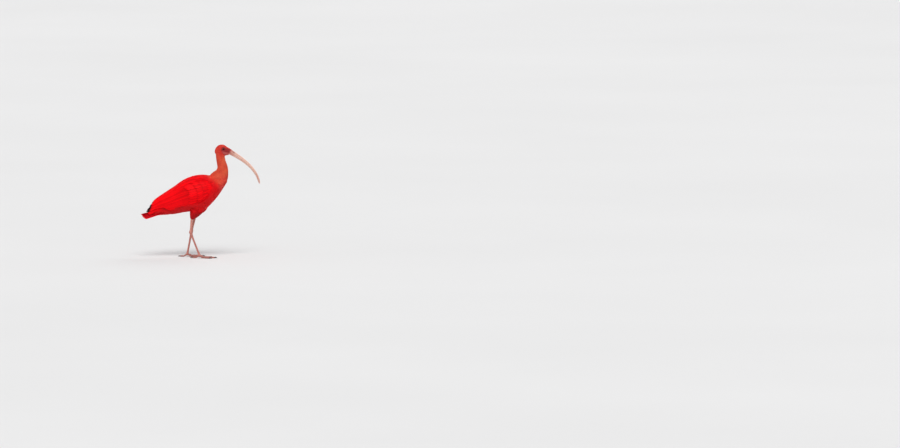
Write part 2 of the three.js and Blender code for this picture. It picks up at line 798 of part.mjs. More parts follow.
function clawForm(leg, toe) {
  const heading = toeHeading(leg, toe);
  const across = new THREE.Vector3(0, 0, 1).cross(heading);
  const end = vector(leg.ankle).addScaledVector(heading, toe.length + 1.5 * GAP);
  const line = new THREE.CatmullRomCurve3([
    end.clone().setZ(toe.radius * 0.66),
    end.clone().addScaledVector(heading, CLAW_LENGTH * 0.5).setZ(toe.radius * 0.66 + 0.1),
    end.clone().addScaledVector(heading, CLAW_LENGTH).setZ(0.75),
  ]);
  const root = toe.radius * 0.62;
  const size = (share) => [mix(root * 0.85, CLAW_TIP, share), mix(root, CLAW_TIP, share)];
  return sweep(line, across, size, 4, 6);
}

function aboveFloor(solid) {
  return solid.trimByPlane([0, 0, 1], FLOOR);
}

function buildLeg(leg, bodyRoom) {
  const footAhead = vector(leg.ankle).sub(vector(leg.hock)).normalize();
  const shinAhead = vector(leg.hock).sub(vector(leg.cuff)).normalize();
  const bend = footAhead.clone().add(shinAhead).normalize();
  const thigh = parted(thighForm(leg), vector(leg.cuff).addScaledVector(shinAhead, -0.4), shinAhead)[1];
  const shin = parted(shinForm(leg), vector(leg.cuff).addScaledVector(shinAhead, -0.4), shinAhead)[0];
  const knuckle = sphereAt(leg.hock, HOCK_RADIUS, 10);
  const shank = joined([tarsusForm(leg), knuckle]);
  const ankleSeam = vector(leg.ankle).addScaledVector(footAhead, -1.5);
  const front = TOES.filter((toe) => toe.name !== 'hind');
  const foot = joined([
    sphereAt(leg.ankle, ANKLE_RADIUS, 10),
    ...TOES.map((toe) => toeForm(leg, toe)),
    webForm(leg, front[0], front[1]),
    webForm(leg, front[1], front[2]),
  ]);
  const pieces = {
    [`thigh_${leg.name}`]: largest(thigh.subtract(bodyRoom)),
    [`shin_${leg.name}`]: parted(joined([shin, knuckle]), vector(leg.hock), bend)[1],
    [`tarsus_${leg.name}`]: parted(parted(shank, vector(leg.hock), bend)[0], ankleSeam, footAhead)[1],
    [`foot_${leg.name}`]: aboveFloor(parted(foot, ankleSeam, footAhead)[0]),
  };
  TOES.forEach((toe) => {
    pieces[`claw_${toe.name}_${leg.name}`] = aboveFloor(clawForm(leg, toe));
  });
  return pieces;
}

// The whole bird

function meshOf(name, solid, material) {
  const { vertProperties, triVerts } = largest(solid).getMesh();
  const geometry = new THREE.BufferGeometry();
  geometry.setAttribute('position', new THREE.BufferAttribute(Float32Array.from(vertProperties), 3));
  geometry.setIndex(Array.from(triVerts));
  const mesh = new THREE.Mesh(geometry, material);
  mesh.name = name;
  return mesh;
}

function materialFor(name) {
  if (name.startsWith('claw')) return CLAW_GREY;
  if (/^(shin|tarsus|foot)/.test(name)) return LEG_PINK;
  if (name.startsWith('eye')) return EYE_DARK;
  if (name.endsWith('bill')) return BILL_IVORY;
  if (/^(head|neck)/.test(name)) return VERMILION;
  if (name.startsWith('thigh')) return DEEP_RED;
  return SCARLET;
}

const bodyRoom = joined([torsoForm(GAP), rumpForm(GAP), neckForm(GAP)]);
const solids = {
  ...buildFlesh(),
  upper_bill: billHalf(1).subtract(nostril(1)).subtract(nostril(-1)),
  lower_bill: billHalf(-1),
  eye_left: sphereAt(eyePlace(1), EYE_RADIUS, 12),
  eye_right: sphereAt(eyePlace(-1), EYE_RADIUS, 12),
  wing_left: buildWing(1, bodyRoom),
  wing_right: buildWing(-1, bodyRoom),
  tail: buildTail(),
};
LEGS.forEach((leg) => Object.assign(solids, buildLeg(leg, bodyRoom)));

const ibis = new THREE.Group();
ibis.name = 'scarlet_ibis';
Object.entries(solids).forEach(([name, solid]) => ibis.add(meshOf(name, solid, materialFor(name))));

export default ibis;
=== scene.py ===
# %% [markdown]
# # A scarlet ibis, dressed feather by feather
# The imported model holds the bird's solids at life size: a body cut into named nodes, with the flight and tail
# feathers as coarse vanes. Blender gives it its looks. Each step below says what a piece is on the real bird,
# how it could be made, and why this way was chosen. Lengths are in metres, +X is forward, the way the bill
# points, +Y is the bird's left and +Z is up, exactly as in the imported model, so nothing has to be fitted.

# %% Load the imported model
import math

import bmesh
import bpy
import numpy as np
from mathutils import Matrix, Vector, noise as soft_noise
from mathutils.bvhtree import BVHTree
from mathutils.kdtree import KDTree


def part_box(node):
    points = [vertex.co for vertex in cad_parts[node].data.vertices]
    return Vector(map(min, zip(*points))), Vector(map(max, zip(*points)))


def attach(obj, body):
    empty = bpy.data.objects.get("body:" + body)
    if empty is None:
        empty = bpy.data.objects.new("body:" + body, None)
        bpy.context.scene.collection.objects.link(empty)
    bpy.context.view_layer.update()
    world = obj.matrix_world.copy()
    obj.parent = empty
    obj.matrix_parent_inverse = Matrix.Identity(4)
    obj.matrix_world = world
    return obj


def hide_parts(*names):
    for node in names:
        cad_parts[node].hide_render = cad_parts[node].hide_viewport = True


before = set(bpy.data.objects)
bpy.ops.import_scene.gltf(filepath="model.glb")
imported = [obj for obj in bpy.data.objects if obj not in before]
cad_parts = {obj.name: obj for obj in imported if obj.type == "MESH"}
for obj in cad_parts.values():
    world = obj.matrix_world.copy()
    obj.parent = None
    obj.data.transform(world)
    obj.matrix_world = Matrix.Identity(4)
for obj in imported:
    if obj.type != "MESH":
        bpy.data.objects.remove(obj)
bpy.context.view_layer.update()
MM = 0.001

# %% [markdown]
# ## The camera
# The photo was taken from far away with a long lens: the far leg is no smaller than the near one. A wide
# lens close by would show the same bird with a swollen middle and a shrunken tail. So the camera stands
# thirty metres off, level with the photo's slightly raised viewpoint, and its lens is worked out from how
# many millimetres one pixel covers at the bird. It aims beside the bird, because the bird isn't in the
# photo's middle.

# %% Place the camera
PHOTO_WIDTH = 900  # px
PHOTO_HEIGHT = 448  # px
METRES_PER_PIXEL = 3.3 * MM
ORIGIN_COLUMN = 200.75  # px, where the bird's own zero stands in the photo
GROUND_ROW = 257.5  # px, where its feet stand
CAMERA_DISTANCE = 30.0
CAMERA_SIGHT = 120.0  # nothing beyond this is drawn
CAMERA_ELEVATION = math.radians(5)
SENSOR_WIDTH = 36.0  # mm, as Blender counts sensors and lenses

aim = Vector((
    (PHOTO_WIDTH / 2 - ORIGIN_COLUMN) * METRES_PER_PIXEL,
    0,
    (GROUND_ROW - PHOTO_HEIGHT / 2) * METRES_PER_PIXEL,
))
away = Vector((0, -math.cos(CAMERA_ELEVATION), math.sin(CAMERA_ELEVATION)))
camera = bpy.data.objects.new("camera", bpy.data.cameras.new("camera"))
bpy.context.scene.collection.objects.link(camera)
bpy.context.scene.camera = camera
camera.data.sensor_width = SENSOR_WIDTH
camera.data.lens = SENSOR_WIDTH * CAMERA_DISTANCE / (PHOTO_WIDTH * METRES_PER_PIXEL)
camera.data.clip_end = CAMERA_SIGHT
camera.location = aim + away * CAMERA_DISTANCE
camera.rotation_euler = away.to_track_quat("Z", "Y").to_euler()
print("lens:", round(camera.data.lens, 1), "mm")

# %% [markdown]
# ## Building materials from nodes
# A material is a small network: patterns and stored colours flow through a few steps into one shader.
# Written node by node it would fill pages, so the steps that come back in every material are short
# functions here. Each takes plain numbers or the output of another node, and gives back an output to go on
# with.

# %% Material tools
def start_material(name, values):
    """A material with one shader; `values` are plain numbers and colours for the shader's own sockets."""
    material = bpy.data.materials.new(name)
    material.use_nodes = True
    shader = material.node_tree.nodes["Principled BSDF"]
    for socket, value in values.items():
        shader.inputs[socket].default_value = value
    return material, material.node_tree, shader


def feed(tree, socket, value):
    """Links a socket to another node's output, or sets it to any other value."""
    if isinstance(value, bpy.types.NodeSocket):
        tree.links.new(value, socket)
    else:
        socket.default_value = value


def add_node(tree, kind, inputs=None, **settings):
    node = tree.nodes.new(kind)
    for setting, value in settings.items():
        setattr(node, setting, value)
    for socket, value in (inputs or {}).items():
        feed(tree, node.inputs[socket], value)
    return node


def calculate(tree, operation, first, second=0.0, third=0.0):
    """One step of arithmetic between sockets or numbers."""
    return add_node(tree, "ShaderNodeMath", {0: first, 1: second, 2: third}, operation=operation).outputs[0]


def blend_colours(tree, share, first, second, mode="MIX"):
    """The second colour over the first; a colour given as plain numbers is red, green and blue."""
    values = {0: share}
    for socket, colour in ((6, first), (7, second)):
        values[socket] = colour if isinstance(colour, bpy.types.NodeSocket) else (*colour, 1.0)
    return add_node(tree, "ShaderNodeMix", values, data_type="RGBA", blend_type=mode).outputs[2]


def noise(tree, place, scale, detail=2.0, roughness=0.5):
    values = {"Vector": place, "Scale": scale, "Detail": detail, "Roughness": roughness}
    return add_node(tree, "ShaderNodeTexNoise", values).outputs["Fac"]


def spread(tree, value, low, high, start=0.0, end=1.0):
    """Stretches a value from low..high to start..end and holds it there."""
    values = {0: value, 1: low, 2: high, 3: start, 4: end}
    return add_node(tree, "ShaderNodeMapRange", values, clamp=True).outputs[0]


def cell_edges(tree, place, scale):
    """How far inside its cell a point lies, in a pattern of small irregular cells."""
    values = {"Vector": place, "Scale": scale}
    return add_node(tree, "ShaderNodeTexVoronoi", values, feature="DISTANCE_TO_EDGE").outputs["Distance"]


def place_on(tree):
    """A point's place on its own piece, in metres, so that a pattern rides along with the piece."""
    return add_node(tree, "ShaderNodeTexCoord").outputs["Object"]


def vane_map(tree):
    """A point's place on the piece's flat map called Vane."""
    return add_node(tree, "ShaderNodeUVMap", uv_map="Vane").outputs["UV"]


def vane_parts(tree):
    """The two coordinates of that map, X and Y, each on its own."""
    return add_node(tree, "ShaderNodeSeparateXYZ", {"Vector": vane_map(tree)}).outputs


def tint_of(tree):
    """The colour that the mesh stores at each point; its alpha is a spare value."""
    return add_node(tree, "ShaderNodeVertexColor", layer_name="Tint").outputs


def add_relief(tree, shader, height, distance, strength):
    values = {"Height": height, "Distance": distance, "Strength": strength}
    feed(tree, shader.inputs["Normal"], add_node(tree, "ShaderNodeBump", values).outputs["Normal"])


def seeping(weight, reach):
    """Shader values for light that seeps through skin, horn and feathers: reach of red, green and blue."""
    return {"Subsurface Weight": weight, "Subsurface Radius": reach, "Subsurface Scale": 1.0}


def screen_colour(red, green, blue):
    """A colour as a screen names it, 0 to 255, turned into the linear light that shaders count in."""
    return tuple(((value / 255 + 0.055) / 1.055) ** 2.4 for value in (red, green, blue))


# %% [markdown]
# ## Floor and light
# A studio shows shape with big, soft sources: the world itself is a pale light tent, one broad light comes
# from high on the camera's side and a weaker one from the far side. Small hard lamps would turn every
# feather edge into a black line. A lamp near the bird would also leave a bright spot on a floor this wide,
# so both are suns, whose light is even everywhere, with a wide angle that softens their shadows. The floor
# is a pale sheet, only there to catch the shadow of the feet. Scarlet is close to the edge of what a screen
# can show, so the plain standard view is used: a filmic one would wash the red out.

# %% Floor, world and lamps
FLOOR_SIZE = 90.0
FLOOR_GREY = screen_colour(219, 218, 216)
FLOOR_PALE = screen_colour(222, 221, 219)
TENT_COLOUR = (0.93, 0.95, 1.0, 1.0)
TENT_STRENGTH = 0.5
# Direction from the bird to the light, strength, and width as an angle in degrees.
LAMPS = {
    "key_light": ((0.0, -0.66, 0.74), 2.3, 34),
    "far_light": ((0.5, 0.62, 0.6), 0.8, 50),
}

floor_material, floor_tree, floor_shader = start_material("floor", {"Roughness": 0.85})
floor_place = add_node(floor_tree, "ShaderNodeNewGeometry").outputs["Position"]
floor_grain = spread(floor_tree, noise(floor_tree, floor_place, 0.6, 3.0), 0.3, 0.7)
floor_colour = blend_colours(floor_tree, floor_grain, FLOOR_GREY, FLOOR_PALE)
feed(floor_tree, floor_shader.inputs["Base Color"], floor_colour)

floor_mesh = bpy.data.meshes.new("floor")
half_floor = FLOOR_SIZE / 2
floor_corners = [(-half_floor, -half_floor, 0), (half_floor, -half_floor, 0)]
floor_corners += [(half_floor, half_floor, 0), (-half_floor, half_floor, 0)]
floor_mesh.from_pydata(floor_corners, [], [(0, 1, 2, 3)])
floor_mesh.materials.append(floor_material)
floor = bpy.data.objects.new("floor", floor_mesh)
bpy.context.scene.collection.objects.link(floor)

world = bpy.data.worlds.new("light_tent")
world.use_nodes = True
world.node_tree.nodes["Background"].inputs["Color"].default_value = TENT_COLOUR
world.node_tree.nodes["Background"].inputs["Strength"].default_value = TENT_STRENGTH
bpy.context.scene.world = world
bpy.context.scene.view_settings.view_transform = "Standard"

for name, (towards, strength, width) in LAMPS.items():
    lamp = bpy.data.lights.new(name, "SUN")
    lamp.energy = strength
    lamp.angle = math.radians(width)
    light = bpy.data.objects.new(name, lamp)
    bpy.context.scene.collection.objects.link(light)
    light.rotation_euler = Vector(towards).to_track_quat("Z", "Y").to_euler()
print("lamps:", list(LAMPS))

# %% [markdown]
# ## From arrays to meshes
# A bird has tens of thousands of feathers. Adding them one by one with operators would take minutes, and
# particle hair isn't kept when a model leaves Blender. So every form here is worked out as arrays of
# points, many feathers at once, and written into a mesh in one go. Each mesh may carry maps (flat
# coordinates, such as the place across and along a feather) and a colour for each point, called Tint, which
# the materials read.

# %% Mesh tools
def mesh_of(name, points, quads, triangles=(), maps=None, tints=None):
    """A mesh from arrays: points (n, 3), quads (m, 4), triangles (k, 3), and values for each point."""
    points = np.asarray(points, np.float32).reshape(-1, 3)
    quads = np.asarray(quads, np.int32).reshape(-1, 4)
    triangles = np.asarray(triangles, np.int32).reshape(-1, 3)
    corners = np.concatenate([quads.ravel(), triangles.ravel()])
    sizes = np.concatenate([np.full(len(quads), 4), np.full(len(triangles), 3)])
    mesh = bpy.data.meshes.new(name)
    mesh.vertices.add(len(points))
    mesh.vertices.foreach_set("co", points.ravel())
    mesh.loops.add(len(corners))
    mesh.loops.foreach_set("vertex_index", corners)
    mesh.polygons.add(len(sizes))
    mesh.polygons.foreach_set("loop_start", np.concatenate([[0], np.cumsum(sizes)[:-1]]).astype(np.int32))
    smooth_faces(mesh)
    mesh.update(calc_edges=True)
    for map_name, places in (maps or {}).items():
        layer = mesh.uv_layers.new(name=map_name)
        layer.data.foreach_set("uv", np.asarray(places, np.float32)[corners].ravel())
    if tints is not None:
        tint_mesh(mesh, tints)
    return mesh


def smooth_faces(mesh):
    mesh.polygons.foreach_set("use_smooth", np.ones(len(mesh.polygons), bool))


def tint_mesh(mesh, tints):
    """Stores a colour for each point; a fourth value, where there is one, goes into the alpha."""
    colours = np.ones((len(mesh.vertices), 4), np.float32)
    colours[:, :tints.shape[1]] = tints
    mesh.color_attributes.new("Tint", "FLOAT_COLOR", "POINT").data.foreach_set("color", colours.ravel())


def show(mesh, material, replaced=()):
    """Puts a mesh into the scene as a piece that rides on the bird and stands for some of its nodes."""
    mesh.materials.append(material)
    piece = bpy.data.objects.new(mesh.name, mesh)
    bpy.context.scene.collection.objects.link(piece)
    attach(piece, "root")
    if replaced:
        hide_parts(*replaced)
    triangles = sum(len(face.vertices) - 2 for face in mesh.polygons)
    print(f"{mesh.name}: {triangles} triangles")


def read_points(mesh, what="co"):
    """The places of a mesh's points as an array, or with "normal" the directions they face."""
    found = np.empty(len(mesh.vertices) * 3, np.float32)
    mesh.vertices.foreach_get(what, found)
    return found.reshape(-1, 3).astype(float)


def move_points(mesh, points):
    mesh.vertices.foreach_set("co", np.asarray(points, np.float32).ravel())
    mesh.update()


def unit(vectors):
    return vectors / np.maximum(np.linalg.norm(vectors, axis=-1, keepdims=True), 1e-12)


def mix(first, second, share):
    return first + (second - first) * share


def smoothstep(value, low, high):
    """0 below `low`, 1 above `high` and an even S between them."""
    share = np.clip((value - low) / (high - low), 0, 1)
    return share * share * (3 - 2 * share)


def hill(value, middle, width):
    """A soft hill of height 1 at `middle`."""
    return np.exp(-(((value - middle) / width) ** 2))


def circle(sides):
    """Even angles once round, the last one short of the first."""
    return np.linspace(0, 2 * np.pi, sides, endpoint=False)


def in_plane(angle, across, upward):
    """Directions at these angles between two that stand square to each other."""
    return np.cos(angle)[..., None] * across + np.sin(angle)[..., None] * upward


def tube_faces(rings, sides):
    """The quads of a tube whose points run ring by ring, closed round each ring."""
    ring, side = np.meshgrid(np.arange(rings - 1), np.arange(sides), indexing="ij")
    first = ring * sides + side
    second = ring * sides + (side + 1) % sides
    return np.stack([first, second, second + sides, first + sides], -1).reshape(-1, 4)


def tube_mesh(name, rings, maps=None, tints=None):
    """A closed tube over rings (rings, sides, 3), with a fan of triangles at both ends."""
    count, sides = rings.shape[:2]
    side = np.arange(sides)
    after = (side + 1) % sides
    last = (count - 1) * sides
    start_fan = np.stack([np.full(sides, count * sides), after, side], -1)
    end_fan = np.stack([np.full(sides, count * sides + 1), last + side, last + after], -1)

    def with_ends(values):
        return np.concatenate([values.reshape(-1, values.shape[-1]), values[[0, -1]].mean(axis=1)])

    maps = {map_name: with_ends(places) for map_name, places in (maps or {}).items()}
    tints = None if tints is None else with_ends(tints)
    faces = tube_faces(count, sides)
    return mesh_of(name, with_ends(rings), faces, np.concatenate([start_fan, end_fan]), maps, tints)


# %% [markdown]
# ## The lines that the bird is built along
# Under its feathers a bird is a few smooth forms: a body like a keel, a rump, a bent neck, a skull and two
# thighs. Each is given by a line and by its size at some places along it, the same named sizes as the
# solids have. A smooth run through those places is what a boat builder gets by bending a batten over the
# frames of a hull.

# %% Sizes of body, neck and head
def run_through(stations):
    """A smooth curve through rows of a place and its values; each slope is that between the neighbours."""
    stations = np.asarray(stations, float)
    places, values = stations[:, 0], stations[:, 1:]
    slopes = np.empty_like(values)
    slopes[1:-1] = (values[2:] - values[:-2]) / (places[2:] - places[:-2])[:, None]
    for end, inner in ((0, 1), (-1, -2)):
        straight = (values[inner] - values[end]) / (places[inner] - places[end])
        slopes[end] = 1.5 * straight - 0.5 * slopes[inner]

    def values_at(place):
        place = np.clip(np.asarray(place, float), places[0], places[-1])
        index = np.clip(np.searchsorted(places, place, side="right") - 1, 0, len(places) - 2)
        width = (places[index + 1] - places[index])[..., None]
        share = (place - places[index])[..., None] / width
        rise = share * share * (3 - 2 * share)
        start = slopes[index] * width * share * (1 - share) ** 2
        end = slopes[index + 1] * width * share * share * (share - 1)
        return values[index] * (1 - rise) + values[index + 1] * rise + start + end

    return values_at


def smooth_line(stations, count):
    """The stations of a line, joined smoothly and set out anew at `count` even shares of it."""
    shares = np.linspace(0, 1, len(stations))
    return run_through(np.column_stack([shares, stations]))(np.linspace(0, 1, count))


# Place along the body line, which runs back from the breast, then top, bottom and half width.
BODY_OUTLINE = np.array([
    [-7, 9, 4, 8],
    [-2, 13, -1, 16],
    [11, 21, -10.5, 27],
    [28, 31, -22, 38],
    [48, 43, -35, 46],
    [72, 54, -47, 53],
    [102, 60, -57, 57],
    [130, 59.5, -50, 57],
    [165, 51.5, -40, 48],
    [200, 44.5, -33, 37],
    [240, 35.5, -19, 25],
    [270, 23, -16, 17],
    [300, 10, -14, 9],
]) * MM
RUMP_OUTLINE = np.array([
    [196, 35, -33, 28],
    [216, 25, -28, 24],
    [240, 13, -20, 18],
    [262, 4, -15, 12],
    [270, 0, -11, 5],
]) * MM
# Neck, from inside the head down into the breast: x, z, half width, depth behind the line, depth ahead.
NECK_LINE = np.array([
    [70, 356, 10, 11, 11],
    [65, 342, 12.4, 14, 14],
    [65.6, 330, 12.6, 14.6, 14.6],
    [67.5, 315, 13.2, 14.4, 16.2],
    [71, 299, 14.7, 15.8, 18.2],
    [70.5, 284, 18, 20.5, 21.5],
    [64.5, 270, 24, 25.5, 28],
    [53, 257, 29, 27, 32],
    [39, 247, 31, 24, 28],
    [22, 238, 28, 17, 19],
]) * MM
# Head, from the back of the skull to the bill: x, z of the middle, half width, height above, depth below.
HEAD_LINE = np.array([
    [46.5, 351, 1.5, 2, 2],
    [48.5, 351.5, 6, 8, 8],
    [53, 352.5, 10.2, 13.6, 13],
    [60, 353.5, 13.4, 18.2, 17],
    [69, 354, 14.6, 19.6, 17.5],
    [78, 353.4, 13.4, 19, 16.8],
    [87, 351.4, 10.4, 14.8, 13.6],
    [93, 349.8, 8.3, 11.2, 10.6],
    [99, 347.8, 7.3, 10.1, 8.8],
]) * MM

# The bill bends down more and more towards its tip. Share of its length, half width, depth of the upper
# half and of the lower half.
BILL_BASE = np.array([96.8, 0, 348.4]) * MM
BILL_HEADING = math.radians(-30.5)
BILL_TURN = math.radians(-50)
BILL_LENGTH = 147 * MM
BILL_SECTION = np.array([
    [0, 6.9, 9.8, 7.4],
    [0.12, 6.0, 8.8, 6.4],
    [0.3, 5.0, 7.4, 5.3],
    [0.55, 4.1, 5.8, 4.2],
    [0.8, 3.2, 4.5, 3.1],
    [0.95, 2.5, 3.4, 2.2],
    [1, 1.5, 2.0, 1.2],
]) * [1, MM, MM, MM]

FORWARD = np.array([1.0, 0.0, 0.0])
LEFTWARD = np.array([0.0, 1.0, 0.0])
UPWARD = np.array([0.0, 0.0, 1.0])
SIDE_VIEW = [0, 2]  # the two coordinates, x and z, that the bird shows from the side
SIDES = {"left": 1, "right": -1}

BODY_PITCH = math.radians(22)
BREAST = np.array([85, 0, 250]) * MM
REARWARD = np.array([-math.cos(BODY_PITCH), 0, -math.sin(BODY_PITCH)])
OVER_BODY = np.array([-math.sin(BODY_PITCH), 0, math.cos(BODY_PITCH)])
LEAST_RADIUS = 0.5 * MM

body_outline = run_through(BODY_OUTLINE)
rump_outline = run_through(RUMP_OUTLINE)
head_outline = run_through(HEAD_LINE)
bill_section = run_through(BILL_SECTION)


def on_body_line(along, above, side):
    """The point at a place along the body line, so far above it and to its left."""
    return BREAST + along[..., None] * REARWARD + above[..., None] * OVER_BODY + side[..., None] * LEFTWARD


def body_point(along, turn, depth, outline=body_outline):
    """A point `depth` inside the outline, `turn` round from the line of the back, left side positive."""
    along, turn, depth = np.broadcast_arrays(*(np.asarray(value, float) for value in (along, turn, depth)))
    top, bottom, half_width = np.moveaxis(outline(along), -1, 0)
    half_height = np.maximum((top - bottom) / 2 - depth, LEAST_RADIUS)
    side = np.maximum(half_width - depth, LEAST_RADIUS) * np.sin(turn)
    above = (top + bottom) / 2 + half_height * np.cos(turn)
    return on_body_line(along, above, side)


def outline_radius(along, outline=body_outline):
    """The mean radius there, which turns a width along the surface into an angle."""
    top, bottom, half_width = np.moveaxis(outline(along), -1, 0)
    return ((top - bottom) / 2 + half_width) / 2


def body_place(points):
    """Place along the body line and angle round it, for points near the body."""
    from_breast = points - BREAST
    along = from_breast @ REARWARD
    top, bottom, half_width = np.moveaxis(body_outline(along), -1, 0)
    above = (from_breast @ OVER_BODY - (top + bottom) / 2) / ((top - bottom) / 2)
    return along, np.arctan2(points[:, 1] / half_width, above)


# The front edge of the folded wing, which reaches furthest forward at the shoulder's angle round the body.
WING_SHOULDER = math.radians(72)
WING_FRONT = 26 * MM
WING_CURVE = 34 * MM


def wing_front(turn):
    """How far back along the body that edge lies at an angle."""
    return WING_FRONT + WING_CURVE * (turn - WING_SHOULDER) ** 2


# %% Sizes of the legs
# `yaw` is where the middle toe points, in degrees, and the rest are the joints' places in millimetres.
LEGS = {
    "left": dict(
        side=1, yaw=7, hip=(4, 21, 186), cuff=(-20, 22.5, 130), hock=(-31, 22, 84), ankle=(-45, 25, 10),
    ),
    "right": dict(
        side=-1, yaw=-6, hip=(-4, -21, 186), cuff=(-29, -22.5, 128), hock=(-33, -22, 84), ankle=(-4, -26, 10),
    ),
}
for leg in LEGS.values():
    for joint in ("hip", "cuff", "hock", "ankle"):
        leg[joint] = np.array(leg[joint]) * MM
# Share of the way down, half width, half depth.
THIGH_SECTION = np.array([
    [0, 15, 25],
    [0.35, 15, 24],
    [0.6, 13, 17],
    [0.82, 9.4, 11],
    [0.95, 6.2, 6.9],
    [1, 4.4, 4.9],
]) * [1, MM, MM]

thigh_section = run_through(THIGH_SECTION)
print("the body is", round(2 * BODY_OUTLINE[:, 3].max(), 3), "m wide")

# %% [markdown]
# ## One skin
# On the real bird neck, head, body and thighs are one skin, with no seam where the solids part. Each form
# is lofted ring by ring, a voxel remesh melts the overlapping forms into one closed surface, and a few
# rounds of smoothing turn the creases between them into soft hollows. Then the skin moves inward by the
# depth of its coat, so that the feathers laid over it later end where the solids end. The face is bare and
# keeps its place.

# %% Loft the forms
BODY_REACH = np.array([-3, 228]) * MM  # along the body line
BODY_RINGS = 50
BODY_GATHER = 1.3  # a power that brings the rings closer together towards the breast
REAR_SINKS_FROM = 180 * MM
REAR_DEPTH = 10 * MM  # how much deeper the body's end lies, where the rump takes over
UNDERSIDE = (-0.9, -0.5)  # the underside keeps its depth: as the cosine of the angle round the body
RUMP_REACH = np.array([190, 264]) * MM
RUMP_RINGS = 16
BODY_SIDES = 72
HEAD_RINGS = 40
HEAD_GATHER = 1.25
NECK_RINGS = 40
THIGH_RINGS = 24
# The skin of the face closes round the root of the bill. Place along the bill's line, half width, height
# above and depth below.
SNOUT_SECTION = np.array([
    [-14, 8.0, 10.4, 9.8],
    [-6, 8.2, 10.6, 8.9],
    [0, 7.6, 10.4, 8.1],
    [4.4, 7.2, 10.0, 7.7],
]) * MM
SNOUT_RINGS = 20


def ring_of(middle, across, ahead, half_width, above, below, sides=48):
    """An oval round `middle`, with its own height above and depth below."""
    across = unit(across - (across @ ahead) * ahead)
    upward = np.cross(ahead, across)
    angle = circle(sides)[:, None]
    height = np.cos(angle) * np.where(np.cos(angle) > 0, above, below)
    return middle + np.sin(angle) * half_width * across + height * upward


def swept(places, sizes, across=LEFTWARD, sides=48):
    """Rings along a line of places; each size is half width, height above and depth below."""
    runs = unit(np.gradient(places, axis=0))
    return np.array([
        ring_of(place, across, run, size[0], size[1], size[-1], sides)
        for place, run, size in zip(places, runs, sizes)
    ])


def thigh_rings(leg):
    shares = np.linspace(0, 1, THIGH_RINGS)
    return swept(mix(leg["hip"], leg["cuff"], shares[:, None]), thigh_section(shares))


body_along = mix(*BODY_REACH, np.linspace(0, 1, BODY_RINGS) ** BODY_GATHER)[:, None]
body_turn = circle(BODY_SIDES)[None]
sinking = smoothstep(body_along, REAR_SINKS_FROM, BODY_REACH[1]) * smoothstep(np.cos(body_turn), *UNDERSIDE)
body_rings = body_point(body_along, body_turn, sinking * REAR_DEPTH)
rump_along = np.linspace(*RUMP_REACH, RUMP_RINGS)[:, None]
rump_rings = body_point(rump_along, body_turn, 0, rump_outline)

neck_values = smooth_line(NECK_LINE, NECK_RINGS)
neck_places = np.column_stack([neck_values[:, 0], np.zeros(NECK_RINGS), neck_values[:, 1]])
neck_widths, neck_behind, neck_ahead = neck_values[:, 2:].T
neck_rings = swept(neck_places, np.column_stack([neck_widths, neck_ahead, neck_behind]))

head_x = mix(HEAD_LINE[0, 0], HEAD_LINE[-1, 0], np.linspace(0, 1, HEAD_RINGS) ** HEAD_GATHER)
head_rings = np.array([
    ring_of(np.array([x, 0, z]), LEFTWARD, FORWARD, half_width, above, below)
    for x, (z, half_width, above, below) in zip(head_x, head_outline(head_x))
])

bill_ahead = np.array([math.cos(BILL_HEADING), 0, math.sin(BILL_HEADING)])
bill_upward = np.array([-bill_ahead[2], 0, bill_ahead[0]])
snout_along = np.linspace(SNOUT_SECTION[0, 0], SNOUT_SECTION[-1, 0], SNOUT_RINGS)
snout_rings = swept(BILL_BASE + snout_along[:, None] * bill_ahead, run_through(SNOUT_SECTION)(snout_along))

forms = [body_rings, rump_rings, neck_rings, head_rings, snout_rings]
forms += [thigh_rings(leg) for leg in LEGS.values()]
print("forms:", len(forms), "with", sum(form[..., 0].size for form in forms), "points")

# %% Melt them into one skin
SKIN_VOXEL = 1.3 * MM
SKIN_SMOOTHING = 8


def applied(piece):
    """The mesh that an object's modifiers make, under the object's name; the object is gone."""
    graph = bpy.context.evaluated_depsgraph_get()
    name, before = piece.name, piece.data
    mesh = bpy.data.meshes.new_from_object(piece.evaluated_get(graph))
    bpy.data.objects.remove(piece)
    bpy.data.meshes.remove(before)
    mesh.name = name
    return mesh


def melted(name, rings, voxel, smoothing):
    """Overlapping closed tubes as one smooth closed mesh."""
    gathered = bmesh.new()
    for form in rings:
        tube = tube_mesh("form", form)
        gathered.from_mesh(tube)
        bpy.data.meshes.remove(tube)
    mesh = bpy.data.meshes.new(f"{name}_forms")
    gathered.to_mesh(mesh)
    gathered.free()
    piece = bpy.data.objects.new(name, mesh)
    bpy.context.scene.collection.objects.link(piece)
    remesh = piece.modifiers.new("melt", "REMESH")
    remesh.mode = "VOXEL"
    remesh.voxel_size = voxel
    smooth = piece.modifiers.new("smooth", "SMOOTH")
    smooth.factor = 0.5
    smooth.iterations = smoothing
    return applied(piece)


skin = melted("skin", forms, SKIN_VOXEL, SKIN_SMOOTHING)
print("skin:", len(skin.vertices), "points, up to z", round(read_points(skin)[:, 2].max(), 4))

# %% The depth of the coat
eye_low, eye_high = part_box("eye_left")
EYE = np.array((eye_low + eye_high) / 2)
EYE_RADIUS = (eye_high - eye_low).z / 2
HEAD_FROM = 330 * MM  # nothing of the face lies lower than this
# The bare face is a tilted oval in side view, with soft edges, a ring round the eye and a band behind the
# bill.
FACE_MIDDLE = np.array([87, 350.5]) * MM
FACE_REACH = np.array([16.5, 10.6]) * MM
FACE_TILT = math.radians(-16)
FACE_EDGE = (0.94, 1.05)
EYE_SURROUND = np.array([7.912, 8.6]) * MM
BILL_SURROUND = np.array([-4.5, -3]) * MM
HALF_SKULL = 4 * MM  # the ring round the eye keeps off the middle of the skull
COAT_DEPTHS = dict(head=0.7 * MM, neck=1.3 * MM, body=3.0 * MM, thigh=2.2 * MM, cuff=1.0 * MM)
